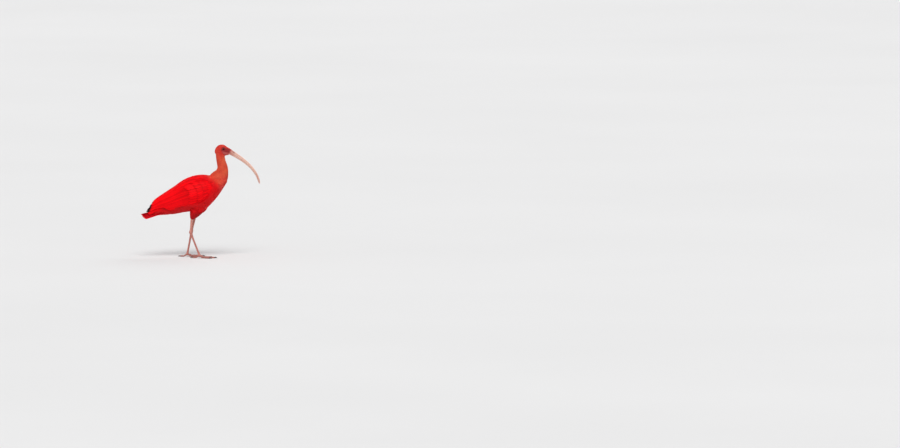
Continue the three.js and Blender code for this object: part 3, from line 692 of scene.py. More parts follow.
# Where one depth passes into the next: the height at which that begins, and over what drop.
NECK_DEPTH_FROM = np.array([340, 30]) * MM
BODY_DEPTH_FROM = np.array([292, 40]) * MM
CUFF_DEPTH_FROM = np.array([160, 26]) * MM
THIGH_HANGS = np.array([4, 10]) * MM  # a thigh begins this far over the body's underside, and over what drop
THIGH_FRONT = np.array([40, 20]) * MM  # and it lies behind this place, over what distance


def lower_than(heights, level, drop):
    """0 above a level, 1 once a height lies `drop` below it."""
    return smoothstep(level - heights, 0, drop)


def from_eye(points):
    """Distance from the nearer eye's axis, in side view."""
    return np.hypot(points[:, 0] - EYE[0], points[:, 2] - EYE[2])


def bare_face(points):
    """1 on the bare skin round the bill and the eye, 0 where feathers grow."""
    flat = points[:, SIDE_VIEW] - FACE_MIDDLE
    lengthwise = (flat[:, 0] * math.cos(FACE_TILT) + flat[:, 1] * math.sin(FACE_TILT)) / FACE_REACH[0]
    crosswise = (flat[:, 1] * math.cos(FACE_TILT) - flat[:, 0] * math.sin(FACE_TILT)) / FACE_REACH[1]
    on_face = 1 - smoothstep(np.hypot(lengthwise, crosswise), *FACE_EDGE)
    round_eye = (1 - smoothstep(from_eye(points), *EYE_SURROUND)) * (np.abs(points[:, 1]) > HALF_SKULL)
    to_bill = smoothstep((points - BILL_BASE) @ bill_ahead, *BILL_SURROUND) * (points[:, 2] > HEAD_FROM)
    return np.maximum(np.maximum(on_face, round_eye), to_bill)


def on_thigh(points):
    """How much a point belongs to a thigh: those hang free below the body."""
    along, _ = body_place(points)
    hangs_from, drop = THIGH_HANGS
    under = BREAST[2] + along * REARWARD[2] + body_outline(along)[:, 1] * OVER_BODY[2]
    return lower_than(points[:, 2], under + hangs_from, drop) * lower_than(points[:, 0], *THIGH_FRONT)


def coat_depth(points):
    """How far the coat stands over the skin at each point."""
    height = points[:, 2]
    depth = mix(COAT_DEPTHS["head"], COAT_DEPTHS["neck"], lower_than(height, *NECK_DEPTH_FROM))
    depth = mix(depth, COAT_DEPTHS["body"], lower_than(height, *BODY_DEPTH_FROM))
    thigh_depth = mix(COAT_DEPTHS["thigh"], COAT_DEPTHS["cuff"], lower_than(height, *CUFF_DEPTH_FROM))
    return mix(depth, thigh_depth, on_thigh(points)) * (1 - bare_face(points))


skin_points = read_points(skin)
move_points(skin, skin_points - read_points(skin, "normal") * coat_depth(skin_points)[:, None])
print("coat depth from", coat_depth(skin_points).min().round(5), "to", coat_depth(skin_points).max().round(5))

# %% [markdown]
# ## The face
# The bare skin of the face is what a viewer looks at first: it runs from the bill round the eye, with a
# hollow between the two, fine folds that ring the eye and a line where the mouth runs back into the cheek.
# Most of these forms are under a millimetre, finer than the skin's own faces, so the face is divided twice
# before it is shaped. The shaping moves points in or out by a sum of simple hills and furrows, each given
# by its place and its width.

# %% Shape the face
FEATHERED_HEAD_FROM = 40 * MM  # x, behind which the skin needs no finer faces
FINEST_FROM = 0.2  # how bare the skin is where it gets the finest faces
# The eye: the skin drops into its socket between two radii, a rim stands round it, and folds ring that.
SOCKET_DEPTH = 6.2 * MM
SOCKET_EDGE = np.array([4.6, 6.1]) * MM
RIM_HEIGHT, RIM_RADIUS, RIM_WIDTH = np.array([0.5, 6.9, 0.9]) * MM
FOLD_HEIGHT, FOLD_SPACING = np.array([0.2, 1.4]) * MM
FOLDS_RADIUS, FOLDS_WIDTH = np.array([8.8, 1.8]) * MM
FOLD_WANDER = 3.5
FOLD_FADE = (0.55, 0.9)  # the folds' usual strength, and how much it varies
# The cheek: slanting folds.
CHEEK_HEIGHT, CHEEK_SPACING = np.array([0.15, 1.9]) * MM
CHEEK_SLANT = 0.35
CHEEK_FROM = np.array([9, 12]) * MM  # distance from the eye
CHEEK_WANDER = 6
CHEEK_FADE = 0.4
# The mouth: a slit that runs back into the cheek, with a lip beside it.
GAPE_HEADING = math.radians(-14)
GAPE_LENGTH, GAPE_AHEAD = np.array([15, 6]) * MM
SLIT_DEPTH, SLIT_WIDTH = np.array([0.9, 0.5]) * MM
LIP_HEIGHT, LIP_PLACE, LIP_WIDTH = np.array([0.3, 1.4, 0.7]) * MM
SLIT_DEEPENS = (0, 0.3)  # shares of the way from the corner of the mouth to the bill
LIP_RISES = (0, 0.5)
# The lore: a hollow between the eye and the bill.
LORE_DEPTH, LORE_WIDTH = np.array([1.0, 3.2]) * MM
LORE_FROM_EYE = np.array([7.0, -2.5]) * MM
LORE_FROM_BILL = np.array([-3.0, 4.4]) * MM
FACE_SIDES = np.array([3, 5]) * MM  # distance from the bird's middle plane at which these forms begin
WANDER_SIZE = 5 * MM
# Round the bill, the skin lies a little outside the horn, then dives under it. As shares of the horn's own
# size.
SNOUT_EDGE = np.array([0.4, 1.8]) * MM  # between these places along the bill
SNOUT_LIP = 1.05
SNOUT_DIVE = 0.17
MOUTH_DIVE = 0.045
SNOUT_BEGINS = 2.5 * MM
SNOUT_HOLDS = (0.6, 1.6)  # skin further in or out than this stays as it is
SNOUT_UNEVEN, SNOUT_UNEVEN_SIZE = np.array([0.5, 3]) * MM


def divide_near(mesh, chosen):
    """Splits every face whose middle passes the test into four."""
    shaped = bmesh.new()
    shaped.from_mesh(mesh)
    middles = np.array([face.calc_center_median() for face in shaped.faces])
    picked = np.flatnonzero(chosen(middles))
    shaped.faces.ensure_lookup_table()
    edges = {edge for index in picked for edge in shaped.faces[index].edges}
    bmesh.ops.subdivide_edges(shaped, edges=list(edges), cuts=1, use_grid_fill=True)
    shaped.to_mesh(mesh)
    shaped.free()
    smooth_faces(mesh)


def from_segment(points, start, end):
    """Distance in side view from a short line, and the share of the way along it."""
    flat = points[:, SIDE_VIEW] - start
    run = end - start
    share = np.clip(flat @ run / (run @ run), 0, 1)
    return np.linalg.norm(flat - share[:, None] * run, axis=1), share


def patches(points, size):
    """Soft noise from -1 to 1 at each point."""
    return np.array([soft_noise.noise(Vector(point) / size) for point in points])


def eye_relief(radius, wander):
    """Socket, rim and folds by distance from the eye. The folds wander and fade, so that no lathe shows."""
    socket = SOCKET_DEPTH * (1 - smoothstep(radius, *SOCKET_EDGE))
    rim = RIM_HEIGHT * hill(radius, RIM_RADIUS, RIM_WIDTH)
    folds = np.cos(2 * np.pi * (radius - RIM_RADIUS) / FOLD_SPACING + FOLD_WANDER * wander)
    strength, varies = FOLD_FADE
    folds = FOLD_HEIGHT * folds * hill(radius, FOLDS_RADIUS, FOLDS_WIDTH) * (strength + varies * wander)
    return rim + folds - socket


def cheek_relief(points, radius, wander):
    across_cheek = points[:, 2] - CHEEK_SLANT * points[:, 0]
    folds = np.cos(2 * np.pi * across_cheek / CHEEK_SPACING + CHEEK_WANDER * wander)
    return CHEEK_HEIGHT * folds * smoothstep(radius, *CHEEK_FROM) * (CHEEK_FADE + wander) * bare_face(points)


divide_near(skin, lambda places: (places[:, 2] > HEAD_FROM) & (places[:, 0] > FEATHERED_HEAD_FROM))
divide_near(skin, lambda places: (bare_face(places) > FINEST_FROM) & (places[:, 2] > HEAD_FROM))

bill_base = BILL_BASE[SIDE_VIEW]
gape_run = np.array([math.cos(GAPE_HEADING), math.sin(GAPE_HEADING)])
gape_end = bill_base - GAPE_LENGTH * gape_run
gape_front = bill_base + GAPE_AHEAD * bill_ahead[SIDE_VIEW]
face_points = read_points(skin)
beside = smoothstep(np.abs(face_points[:, 1]), *FACE_SIDES) * (face_points[:, 2] > HEAD_FROM)
behind_gap, gape_share = from_segment(face_points, gape_end, bill_base)
ahead_gap, _ = from_segment(face_points, bill_base, gape_front)
gape_gap = np.minimum(behind_gap, ahead_gap)
mouth_slit = hill(gape_gap, 0, SLIT_WIDTH) * smoothstep(gape_share, *SLIT_DEEPENS) * beside
lip = LIP_HEIGHT * hill(gape_gap, LIP_PLACE, LIP_WIDTH) * smoothstep(gape_share, *LIP_RISES)
lore_gap, _ = from_segment(face_points, EYE[SIDE_VIEW] + LORE_FROM_EYE, bill_base + LORE_FROM_BILL)
lore = LORE_DEPTH * hill(lore_gap, 0, LORE_WIDTH)
eye_distance = from_eye(face_points)
wander = patches(face_points, WANDER_SIZE)
relief = eye_relief(eye_distance, wander) + cheek_relief(face_points, eye_distance, wander) + lip - lore
moved = relief * beside - SLIT_DEPTH * mouth_slit
face_points = face_points + read_points(skin, "normal") * moved[:, None]


def close_round_bill(points):
    """Lays the skin just over the root of the bill and lets its edge dive under the horn."""
    gaps = points - BILL_BASE
    ahead, up = gaps @ bill_ahead, gaps @ bill_upward
    half_width, above, below = np.moveaxis(bill_section(np.maximum(ahead, 0) / BILL_LENGTH), -1, 0)
    reach = np.hypot(gaps[:, 1] / half_width, up / np.where(up > 0, above, below))
    uneven = ahead + SNOUT_UNEVEN * patches(points, SNOUT_UNEVEN_SIZE)
    wanted = SNOUT_LIP - SNOUT_DIVE * smoothstep(uneven, *SNOUT_EDGE) - MOUTH_DIVE * mouth_slit
    held = (reach > SNOUT_HOLDS[0]) & (reach < SNOUT_HOLDS[1])
    scale = mix(1, wanted / np.maximum(reach, SNOUT_HOLDS[0]), smoothstep(ahead, 0, SNOUT_BEGINS) * held) - 1
    return points + (up * scale)[:, None] * bill_upward + (gaps[:, 1] * scale)[:, None] * LEFTWARD


move_points(skin, close_round_bill(face_points))
print("skin after the face:", len(skin.vertices), "points")

# %% [markdown]
# ## The lie of the coat
# Feathers grow backwards from the bill, over the head, down the neck and along the body, and down the
# thighs. A groomer's brush would be one way to show that. Here the lines inside the bird do it: at any
# point of the skin the coat runs as the nearest of these lines run, each counted by how near it is for its
# own thickness. The same lines serve to unroll the skin: how far along the line a point lies, and how far
# round it, are its two flat coordinates. That unwrap is where each feather of the coat keeps its colour
# when the model is exported.

# %% Lines inside the bird, and the skin unrolled round them
SKULL_STEPS = np.linspace(99, 68, 8) * MM  # x, from the bill back to the neck
NECK_PART = slice(6, 34)  # of the neck's rings, those between skull and body
TRUNK_STEPS = np.linspace(58, 262, 30) * MM  # along the body line
THIGH_STEPS = np.linspace(0.42, 1.05, 12)  # as shares of the way from hip to cuff
SKULL_THICKNESS = 1.1  # as shares of the half width
NECK_THICKNESS = 1.05
NEARNESS = -8  # a high power, so that the nearest line counts most
CHUNK = 20000
# On the breast the coat fans out from the foot of the neck, as a cape does from the collar.
NECK_FOOT = np.array([68, 0, 282]) * MM
FAN_REACH = 75 * MM
FAN_STRENGTH = 1.6
FAN_BEGINS = np.array([4, 28]) * MM  # over the neck's foot, and over what drop
# Where each part lies on the flat unwrap: corner, and size along and round.
UNWRAP_BLOCKS = np.array([
    [0.01, 0.01, 0.98, 0.76],
    [0.01, 0.8, 0.47, 0.19],
    [0.51, 0.8, 0.47, 0.19],
])


def inner_line(places, radii, block):
    """Samples along one line: place, radius, heading, distance from its start and which part it is."""
    runs = unit(np.gradient(places, axis=0))
    steps = np.linalg.norm(np.diff(places, axis=0), axis=1)
    progress = np.concatenate([[0], np.cumsum(steps)])
    return dict(places=places, radii=radii, runs=runs, progress=progress, block=np.full(len(places), block))


skull_middle, skull_half_width = head_outline(SKULL_STEPS)[:, :2].T
skull_places = np.column_stack([SKULL_STEPS, np.zeros(len(SKULL_STEPS)), skull_middle])
trunk_above = body_outline(TRUNK_STEPS)[:, :2].mean(axis=1)
trunk_places = on_body_line(TRUNK_STEPS, trunk_above, np.zeros(len(TRUNK_STEPS)))
main_places = np.concatenate([skull_places, neck_places[NECK_PART], trunk_places])
main_radii = np.concatenate([
    skull_half_width * SKULL_THICKNESS,
    neck_widths[NECK_PART] * NECK_THICKNESS,
    outline_radius(TRUNK_STEPS),
])
inner_lines = [inner_line(main_places, main_radii, 0)]
for block, leg in enumerate(LEGS.values(), start=1):
    places = mix(leg["hip"], leg["cuff"], THIGH_STEPS[:, None])
    inner_lines.append(inner_line(places, thigh_section(THIGH_STEPS).mean(axis=1), block))
LINES = {key: np.concatenate([line[key] for line in inner_lines]) for key in inner_lines[0]}
LINE_UPWARD = np.cross(LEFTWARD, LINES["runs"])
LINE_LENGTHS = np.array([line["progress"][-1] for line in inner_lines])


def nearness_to_lines(points):
    gaps = points[:, None] - LINES["places"][None]
    return (np.linalg.norm(gaps, axis=2) / LINES["radii"]) ** NEARNESS


def in_chunks(work, points):
    """Does the work on some thousands of points at a time, to keep the arrays small."""
    return np.concatenate([work(points[first:first + CHUNK]) for first in range(0, len(points), CHUNK)])


def lie_of(points):
    """The heading of the coat at each point, before it is laid on the skin."""
    along_lines = in_chunks(lambda part: unit(nearness_to_lines(part) @ LINES["runs"]), points)
    from_foot = points - NECK_FOOT
    distance = np.linalg.norm(from_foot, axis=1)
    fan = FAN_STRENGTH * lower_than(from_foot[:, 2], *FAN_BEGINS) * hill(distance, 0, FAN_REACH)
    return unit(along_lines + fan[:, None] * unit(from_foot))


def unrolled(points):
    """For each point: its place on the unwrap, the part it belongs to and how far along that it lies."""
    def work(part):
        nearness = nearness_to_lines(part)
        nearest = nearness.argmax(axis=1)
        block = LINES["block"][nearest]
        same = nearness * (LINES["block"][None] == block[:, None])
        progress = same @ LINES["progress"] / same.sum(axis=1)
        gap = part - LINES["places"][nearest]
        upward = (gap * LINE_UPWARD[nearest]).sum(axis=1)
        turn = np.arctan2(gap[:, 1], upward) / (2 * np.pi) + 0.5
        corner = UNWRAP_BLOCKS[block]
        across = corner[:, 0] + corner[:, 2] * progress / LINE_LENGTHS[block]
        return np.column_stack([across, corner[:, 1] + corner[:, 3] * turn, block, progress])
    found = in_chunks(work, points)
    return found[:, :2], found[:, 2], found[:, 3]


print("lines:", len(LINES["radii"]), "samples, lengths", LINE_LENGTHS.round(3))

# %% [markdown]
# ## Colour of the plumage
# Scarlet plumage isn't one red. On this bird the wings and back are the purest, the head is a little paler,
# the neck leans to orange, the front of the breast is pinkish and painted brighter as painted light from the
# front, the underside of the body is painted darker as painted shade, and the thighs are darker. One function
# gives the colour at any place, and both the skin and every feather ask it, so that no other colour shines
# through between the feathers. Slow, soft noise over it keeps any two places from being quite alike.

# %% Colours by place
BACK_RED = np.array([0.93, 0.002, 0.006])
HEAD_RED = np.array([0.88, 0.048, 0.034])
NECK_ORANGE = np.array([0.86, 0.1, 0.046])
# Painted light: the front of the breast is a pinkish red, painted brighter as if lit from the front.
BREAST_PINK_PAINTED_LIGHT = np.array([0.98, 0.058, 0.06])
THIGH_RED = np.array([0.52, 0.004, 0.007])
# Painted shade: the underside of the body towards the rear is painted a darker red.
BELLY_PAINTED_SHADE_RED = np.array([0.7, 0.006, 0.009])
FACE_RED = np.array([0.31, 0.012, 0.015])
CHIN_PINK = np.array([0.5, 0.1, 0.095])
BILL_ROOT_PINK = np.array([0.6, 0.2, 0.17])
# Painted shade, nearly black: in the slit of the mouth, the nostril and the edge of the lids.
SLIT_PAINTED_SHADE = np.array([0.035, 0.004, 0.005])
# Where one colour passes into the next, as distance from the bill along head, neck and body.
NECK_COLOUR = np.array([20, 70]) * MM
BACK_COLOUR = np.array([115, 175]) * MM
BREAST_COLOUR = np.array([100, 150]) * MM
BELLY_COLOUR = np.array([190, 260]) * MM
BREAST_FRONT = np.array([55, 85]) * MM  # x
BREAST_WEIGHT = 0.9
BELLY_TURN = (0.25, 0.95)  # how far underneath, as the cosine of the angle from the line of the belly
PATCH_SIZE = 22 * MM
PATCH_STRENGTH = 0.16
PATCH_TINT = np.array([0, 0.5, 0.3])
CHIN_DEPTH = np.array([1, 5]) * MM  # below the line of the mouth
BILL_ROOT = np.array([-4, 1]) * MM  # along the bill's line
BILL_ROOT_WEIGHT = 0.75

below_mouth = np.array([gape_run[1], -gape_run[0]])


def plumage_colour(points):
    """The colour of skin and feathers at each point, as linear light."""
    _, block, progress = unrolled(points)
    on_main = block == 0
    _, turn = body_place(points)
    head_and_neck = mix(HEAD_RED, NECK_ORANGE, smoothstep(progress, *NECK_COLOUR)[:, None])
    neck_share = (1 - smoothstep(progress, *BACK_COLOUR)) * on_main
    colour = mix(BACK_RED, head_and_neck, neck_share[:, None])
    # Painted light: the front of the breast is painted brighter.
    front = smoothstep(points[:, 0], *BREAST_FRONT) * smoothstep(progress, *BREAST_COLOUR) * on_main
    colour = mix(colour, BREAST_PINK_PAINTED_LIGHT, BREAST_WEIGHT * front[:, None])
    # Painted shade: the underside is painted darker, more so further underneath.
    low = smoothstep(-np.cos(turn), *BELLY_TURN) * smoothstep(progress, *BELLY_COLOUR) * on_main
    colour = mix(colour, BELLY_PAINTED_SHADE_RED, low[:, None])
    colour = mix(colour, THIGH_RED, ((1 - on_main) * on_thigh(points))[:, None])
    shift = patches(points, PATCH_SIZE)[:, None]
    colour = colour * (1 + PATCH_STRENGTH * shift) * (1 + shift * PATCH_TINT)
    face = bare_face(points)
    on_chin = smoothstep((points[:, SIDE_VIEW] - bill_base) @ below_mouth, *CHIN_DEPTH)
    near_bill = smoothstep((points - BILL_BASE) @ bill_ahead, *BILL_ROOT) * face
    bare = mix(FACE_RED, CHIN_PINK, on_chin[:, None])
    bare = mix(bare, BILL_ROOT_PINK, BILL_ROOT_WEIGHT * near_bill[:, None])
    return mix(colour, bare, face[:, None])


skin_points = read_points(skin)
# Painted shade: the slit of the mouth is painted nearly black.
tint_mesh(skin, mix(plumage_colour(skin_points), SLIT_PAINTED_SHADE, mouth_slit[:, None]))

# %% Skin material
skin_material, tree, shader = start_material("bare_skin", {
    "Roughness": 0.5,
    "Specular IOR Level": 0.3,
    **seeping(0.08, (0.004, 0.0012, 0.0008)),
})
place = place_on(tree)
mottle = spread(tree, noise(tree, place, 240.0, 3.0), 0.35, 0.7)
pores = spread(tree, cell_edges(tree, place, 1500.0), 0.0, 0.25)
wrinkles = noise(tree, place, 900.0, 4.0, 0.6)
colour = blend_colours(tree, mottle, tint_of(tree)["Color"], (0.62, 0.5, 0.5), "MULTIPLY")
colour = blend_colours(tree, calculate(tree, "MULTIPLY", pores, 0.35), colour, (0.8, 0.3, 0.25), "OVERLAY")
feed(tree, shader.inputs["Base Color"], colour)
add_relief(tree, shader, calculate(tree, "MULTIPLY_ADD", pores, 0.5, wrinkles), 0.25 * MM, 0.6)

skin_flat, _, _ = unrolled(skin_points)
corner_points = np.empty(len(skin.loops), np.int32)
skin.loops.foreach_get("vertex_index", corner_points)
skin.uv_layers.new(name="Unwrap").data.foreach_set("uv", skin_flat[corner_points].astype(np.float32).ravel())
covered_nodes = ("head", "neck_upper", "neck_lower", "torso", "thigh_left", "thigh_right")
show(skin, skin_material, covered_nodes)

# %% [markdown]
# ## How a feather is made
# Every feather here is a blade: a grid of points, rows from root to tip and columns from edge to edge, with
# its middle column raised as the shaft, closed underneath so that it is solid. Small body feathers need
# three or five columns, and flight feathers nine. Thousands of blades are one array operation, so nothing
# is copied by hand. Each blade keeps where a point lies across and along it, which the material turns into
# shaft, barbs and edges.

# %% Blades from grids of points
LONGEST_FEATHER = 0.2  # a feather's length is kept as a share of this in the alpha of its Tint
SHARP_EDGE = math.radians(42)


def by_feather(values):
    """One value for each feather, shaped to meet its rows and columns."""
    return values[:, None, None]


def blades_mesh(name, grid, across, shares, patch_middles, patch_size, tints):
    """One closed blade for each grid (blades, rows, columns, 3); maps Vane and OFBake."""
    blades, rows, columns = grid.shape[:3]
    own = rows * columns
    fan = np.array([[0, column, column + 1] for column in range(1, columns - 1)])
    ends = np.concatenate([fan[:, ::-1], fan + own - columns])
    offsets = (np.arange(blades) * own)[:, None, None]
    quads = (tube_faces(rows, columns)[None] + offsets).reshape(-1, 4)
    triangles = (ends[None] + offsets).reshape(-1, 3)
    across = np.broadcast_to(across, (blades, columns))[:, None]
    vane = np.stack(np.broadcast_arrays((across + 1) / 2, shares[None, :, None]), -1).reshape(-1, 2)
    baked_at = np.repeat(patch_middles, own, axis=0) + (vane - 0.5) * patch_size
    lengths = np.linalg.norm(grid[:, -1, columns // 2] - grid[:, 0, columns // 2], axis=-1)
    colours = np.empty((blades, rows, columns, 4), np.float32)
    colours[..., :3] = np.clip(tints, 0, 1)
    colours[..., 3] = by_feather(lengths / LONGEST_FEATHER)
    colours = colours.reshape(-1, 4)
    mesh = mesh_of(name, grid, quads, triangles, {"Vane": vane, "OFBake": baked_at}, colours)
    mesh.set_sharp_from_angle(angle=SHARP_EDGE)
    return mesh


# %% Feather materials
SHEEN_PINK = (*screen_colour(255, 120, 90), 1.0)
MOTTLE_SHADE = (0.72, 0.55, 0.55)
GAP_SHADE = (0.5, 0.3, 0.3)
# Painted shade at a feather's root and on the side that lies under its neighbour.
ROOT_PAINTED_SHADE = (0.4, 0.25, 0.25)
COVERED_PAINTED_SHADE = (0.45, 0.3, 0.3)
SHAFT_DARK = (0.3, 0.004, 0.006)
BARB_SLANT = 12 * MM  # how much further down the vane a barb ends than it begins
BARB_WOBBLE = 9.0
FULL_TURN = 2 * math.pi


def feather_material(name, barb_width, roughness, gloss, sheen, glow, mottling, painted_highlight, tip_reach,
                     painted_shade_strength, relief):
    """Barbs slant out from the shaft; root and covered side get painted shade, the tip and the open edge
    painted light.
    `glow` is how much light seeps from one soft feather into the next."""
    material, tree, shader = start_material(name, {
        "Roughness": roughness,
        "Specular IOR Level": gloss,
        "Sheen Weight": sheen,
        "Sheen Roughness": 0.45,
        "Sheen Tint": SHEEN_PINK,
        **seeping(glow, (0.0025, 0.0006, 0.0004)),
    })
    vane = vane_parts(tree)
    place = place_on(tree)
    tint = tint_of(tree)
    off_shaft = calculate(tree, "ABSOLUTE", calculate(tree, "SUBTRACT", vane["X"], 0.5))
    length = calculate(tree, "MULTIPLY", tint["Alpha"], LONGEST_FEATHER / barb_width * FULL_TURN)
    down_vane = calculate(tree, "MULTIPLY", vane["Y"], length)
    slant = calculate(tree, "MULTIPLY_ADD", off_shaft, -BARB_SLANT / barb_width * FULL_TURN, down_vane)
    wobble = calculate(tree, "MULTIPLY", noise(tree, place, 90.0), BARB_WOBBLE)
    slant = calculate(tree, "ADD", slant, wobble)
    strands = add_node(tree, "ShaderNodeCombineXYZ", {"X": slant, "Y": vane["X"], "Z": length}).outputs[0]
    strands = noise(tree, strands, 0.22, 3.0, 0.7)
    barbs = calculate(tree, "MULTIPLY_ADD", calculate(tree, "SINE", slant), 0.22, strands)
    mottle = noise(tree, place, 75.0, 4.0, 0.6)
    layers = [
        (spread(tree, mottle, 0.3, 0.75, 0.0, mottling), MOTTLE_SHADE, "MULTIPLY"),
        (spread(tree, barbs, 0.2, 0.62, 0.5, 0.0), GAP_SHADE, "MULTIPLY"),
        # Painted shade at the root and on the covered side.
        (spread(tree, vane["Y"], 0.0, 0.5, painted_shade_strength, 0.0), ROOT_PAINTED_SHADE, "MULTIPLY"),
        (spread(tree, vane["X"], 0.05, 0.6, painted_shade_strength, 0.0), COVERED_PAINTED_SHADE, "MULTIPLY"),
        # Painted highlight at the tip and along the open edge.
        (spread(tree, vane["Y"], 1 - tip_reach, 1.0, 0.0, 0.5), painted_highlight, "SOFT_LIGHT"),
        (spread(tree, vane["X"], 0.9, 1.0, 0.0, 0.6), painted_highlight, "SOFT_LIGHT"),
        (spread(tree, off_shaft, 0.01, 0.03, 0.55, 0.0), SHAFT_DARK, "MIX"),
    ]
    colour = tint["Color"]
    for share, shade, mode in layers:
        colour = blend_colours(tree, share, colour, shade, mode)
    feed(tree, shader.inputs["Base Color"], colour)
    add_relief(tree, shader, barbs, relief, 0.7)
    return material


body_feathers = feather_material(
    "soft_feathers", barb_width=0.6 * MM, roughness=0.65, gloss=0.12, sheen=0.05, glow=0.3, mottling=0.5,
    painted_highlight=(1.0, 0.66, 0.55), tip_reach=0.4, painted_shade_strength=0.1, relief=0.05 * MM)
neck_feathers = feather_material(
    "neck_plumes", barb_width=0.5 * MM, roughness=0.75, gloss=0.14, sheen=0.08, glow=0.3, mottling=0.5,
    painted_highlight=(1.0, 0.78, 0.6), tip_reach=0.5, painted_shade_strength=0.0, relief=0.04 * MM)
wing_feathers = feather_material(
    "firm_vanes", barb_width=0.6 * MM, roughness=0.55, gloss=0.05, sheen=0.0, glow=0.0, mottling=0.3,
    painted_highlight=(1.0, 0.6, 0.5), tip_reach=0.1, painted_shade_strength=0.6, relief=0.07 * MM)
print("feather materials:", [item.name for item in (body_feathers, neck_feathers, wing_feathers)])

# %% [markdown]
# ## The coat
# Small feathers cover all that isn't wing, tail, face or leg. On the head they are velvet, five millimetres
# long and less than a millimetre apart. Down the neck they grow, on breast, belly and back they are soft
# scales more than twice as long, and on the rump they are longer again. They are planted on the skin like
# shrubs in a wood: places are tried in random order, and a place too close to one already taken is dropped,
# which gives an even cover with no rows. Each feather then walks over the skin along the lie of the coat,
# its root sunk in and its tip lifted, so that it lies on those behind it.

# %% Where feathers are rooted
WING_OVERLAP = 12 * MM  # how far the body's coat runs on under the wing's front edge
WING_UNDERSIDE = math.radians(124)
WING_COVERS_TO = 204 * MM
WING_BEGINS = 75 * MM
RUMP_COAT_END = 246 * MM
# Spacing, length and half width of the feathers.
COAT_SIZES = {
    "head": np.array([0.78, 5.4, 0.6]) * MM,
    "neck": np.array([1.05, 9.0, 0.95]) * MM,
    "body": np.array([1.9, 14.0, 2.6]) * MM,
    "rump": np.array([3.0, 26.0, 3.8]) * MM,
    "thigh": np.array([1.7, 12.0, 1.6]) * MM,
    "cuff": np.array([1.3, 7.0, 0.9]) * MM,
}
# Where one size passes into the next, as distance from the bill.
COAT_GROWS = {
    "neck": np.array([30, 100]) * MM,
    "body": np.array([100, 190]) * MM,
    "rump": np.array([330, 400]) * MM,
}
CUFF_COAT_FROM = np.array([170, 35]) * MM  # height, and over what drop
SCATTER = 0.2 * MM
BALD_FROM = 0.5  # how bare the skin is where no feather grows any more

rng = np.random.default_rng(7)  # one seed, so that every run grows the same coat


def under_wing(points):
    """Where the folded wing covers the body, so that no feather is seen."""
    along, turn = body_place(points)
    behind_front = along > wing_front(np.abs(turn)) + WING_OVERLAP
    covered = behind_front & (np.abs(turn) < WING_UNDERSIDE) & (along < WING_COVERS_TO)
    return covered & (points[:, 0] < WING_BEGINS)


def coat_size(points):
    """Spacing, length and half width of the feathers that grow at each point."""
    _, block, progress = unrolled(points)
    size = np.broadcast_to(COAT_SIZES["head"], (len(points), 3))
    for stage, grows in COAT_GROWS.items():
        size = mix(size, COAT_SIZES[stage], smoothstep(progress, *grows)[:, None])
    down_leg = lower_than(points[:, 2], *CUFF_COAT_FROM)[:, None]
    thigh_size = mix(COAT_SIZES["thigh"], COAT_SIZES["cuff"], down_leg)
    return mix(size, thigh_size, ((block > 0) * on_thigh(points))[:, None])


face_corners = [tuple(face.vertices) for face in skin.polygons]
skin_search = BVHTree.FromPolygons(skin_points.tolist(), face_corners)
skin_normals = read_points(skin, "normal")
face_normals = np.array([skin_normals[list(corners)].mean(axis=0) for corners in face_corners])


def nearest_on_skin(points):
    found = [skin_search.find_nearest(point) for point in points.tolist()]
    places = np.array([hit[0][:] for hit in found])
    return places, unit(face_normals[[hit[2] for hit in found]])


def evenly_spaced(points, spacing):
    """Indexes of points that keep their distance from one another."""
    tree = KDTree(len(points))
    for index, point in enumerate(points.tolist()):
        tree.insert(point, index)
    tree.balance()
    free = np.ones(len(points), bool)
    kept = []
    for index in rng.permutation(len(points)):
        if free[index]:
            kept.append(index)
            free[[hit[1] for hit in tree.find_range(points[index].tolist(), spacing[index])]] = False
    return np.array(kept)


face_middles = np.array([face.center[:] for face in skin.polygons])
candidates = np.concatenate([skin_points, face_middles])
candidates += rng.normal(0, SCATTER, candidates.shape)
bald = bare_face(candidates) > BALD_FROM
bald |= under_wing(candidates) | (body_place(candidates)[0] > RUMP_COAT_END)
candidates = candidates[~bald]
sizes = coat_size(candidates)
kept = evenly_spaced(candidates, sizes[:, 0])
roots, root_normals = nearest_on_skin(candidates[kept])
root_sizes = sizes[kept]
print("feathers in the coat:", len(roots))

# %% Grow the coat
TURN_SPREAD = math.radians(7)  # how far a feather strays from the lie of the coat
LENGTH_SPREAD = 0.12
LIFT_SPREAD = 0.08
WIDTH_SPREAD = 0.08
TIP_SPREAD = 0.035  # how ragged the tip is, as a share of the length
TINT_SPREAD = 0.07
# Shares of a feather's length, and its height there as shares of the coat's depth.
LIFT_PLACES = [0, 0.3, 0.7, 1]
LIFTS = [-0.35, 0.45, 0.95, 1.0]
# How far a vane's middle stands over its edges, and the shaft over that, as shares of the half width.
VANE_CURVE = 0.2
SHAFT_CURVE = 0.05
TUFT_PATCH = 0.003  # of the unwrap, for the colours of one feather
# Rows of points along a feather, as shares of its length, with the width there; then how round its tip is.
VELVET = dict(columns=3, shares=np.array([0, 0.3, 0.6, 0.85, 1]), widths=np.array([0.7, 1, 0.95, 0.6, 0.16]))
SCALE = dict(
    columns=5,
    shares=np.array([0, 0.2, 0.45, 0.7, 0.88, 0.97, 1]),
    widths=np.array([0.45, 0.8, 1, 0.98, 0.78, 0.5, 0.3]),
    roundness=0.2,
)
# Distances from the bill at which one piece of the coat ends and the next begins.
HEAD_TO = 60 * MM
NECK_TO = 150 * MM
BREAST_TO = 220 * MM


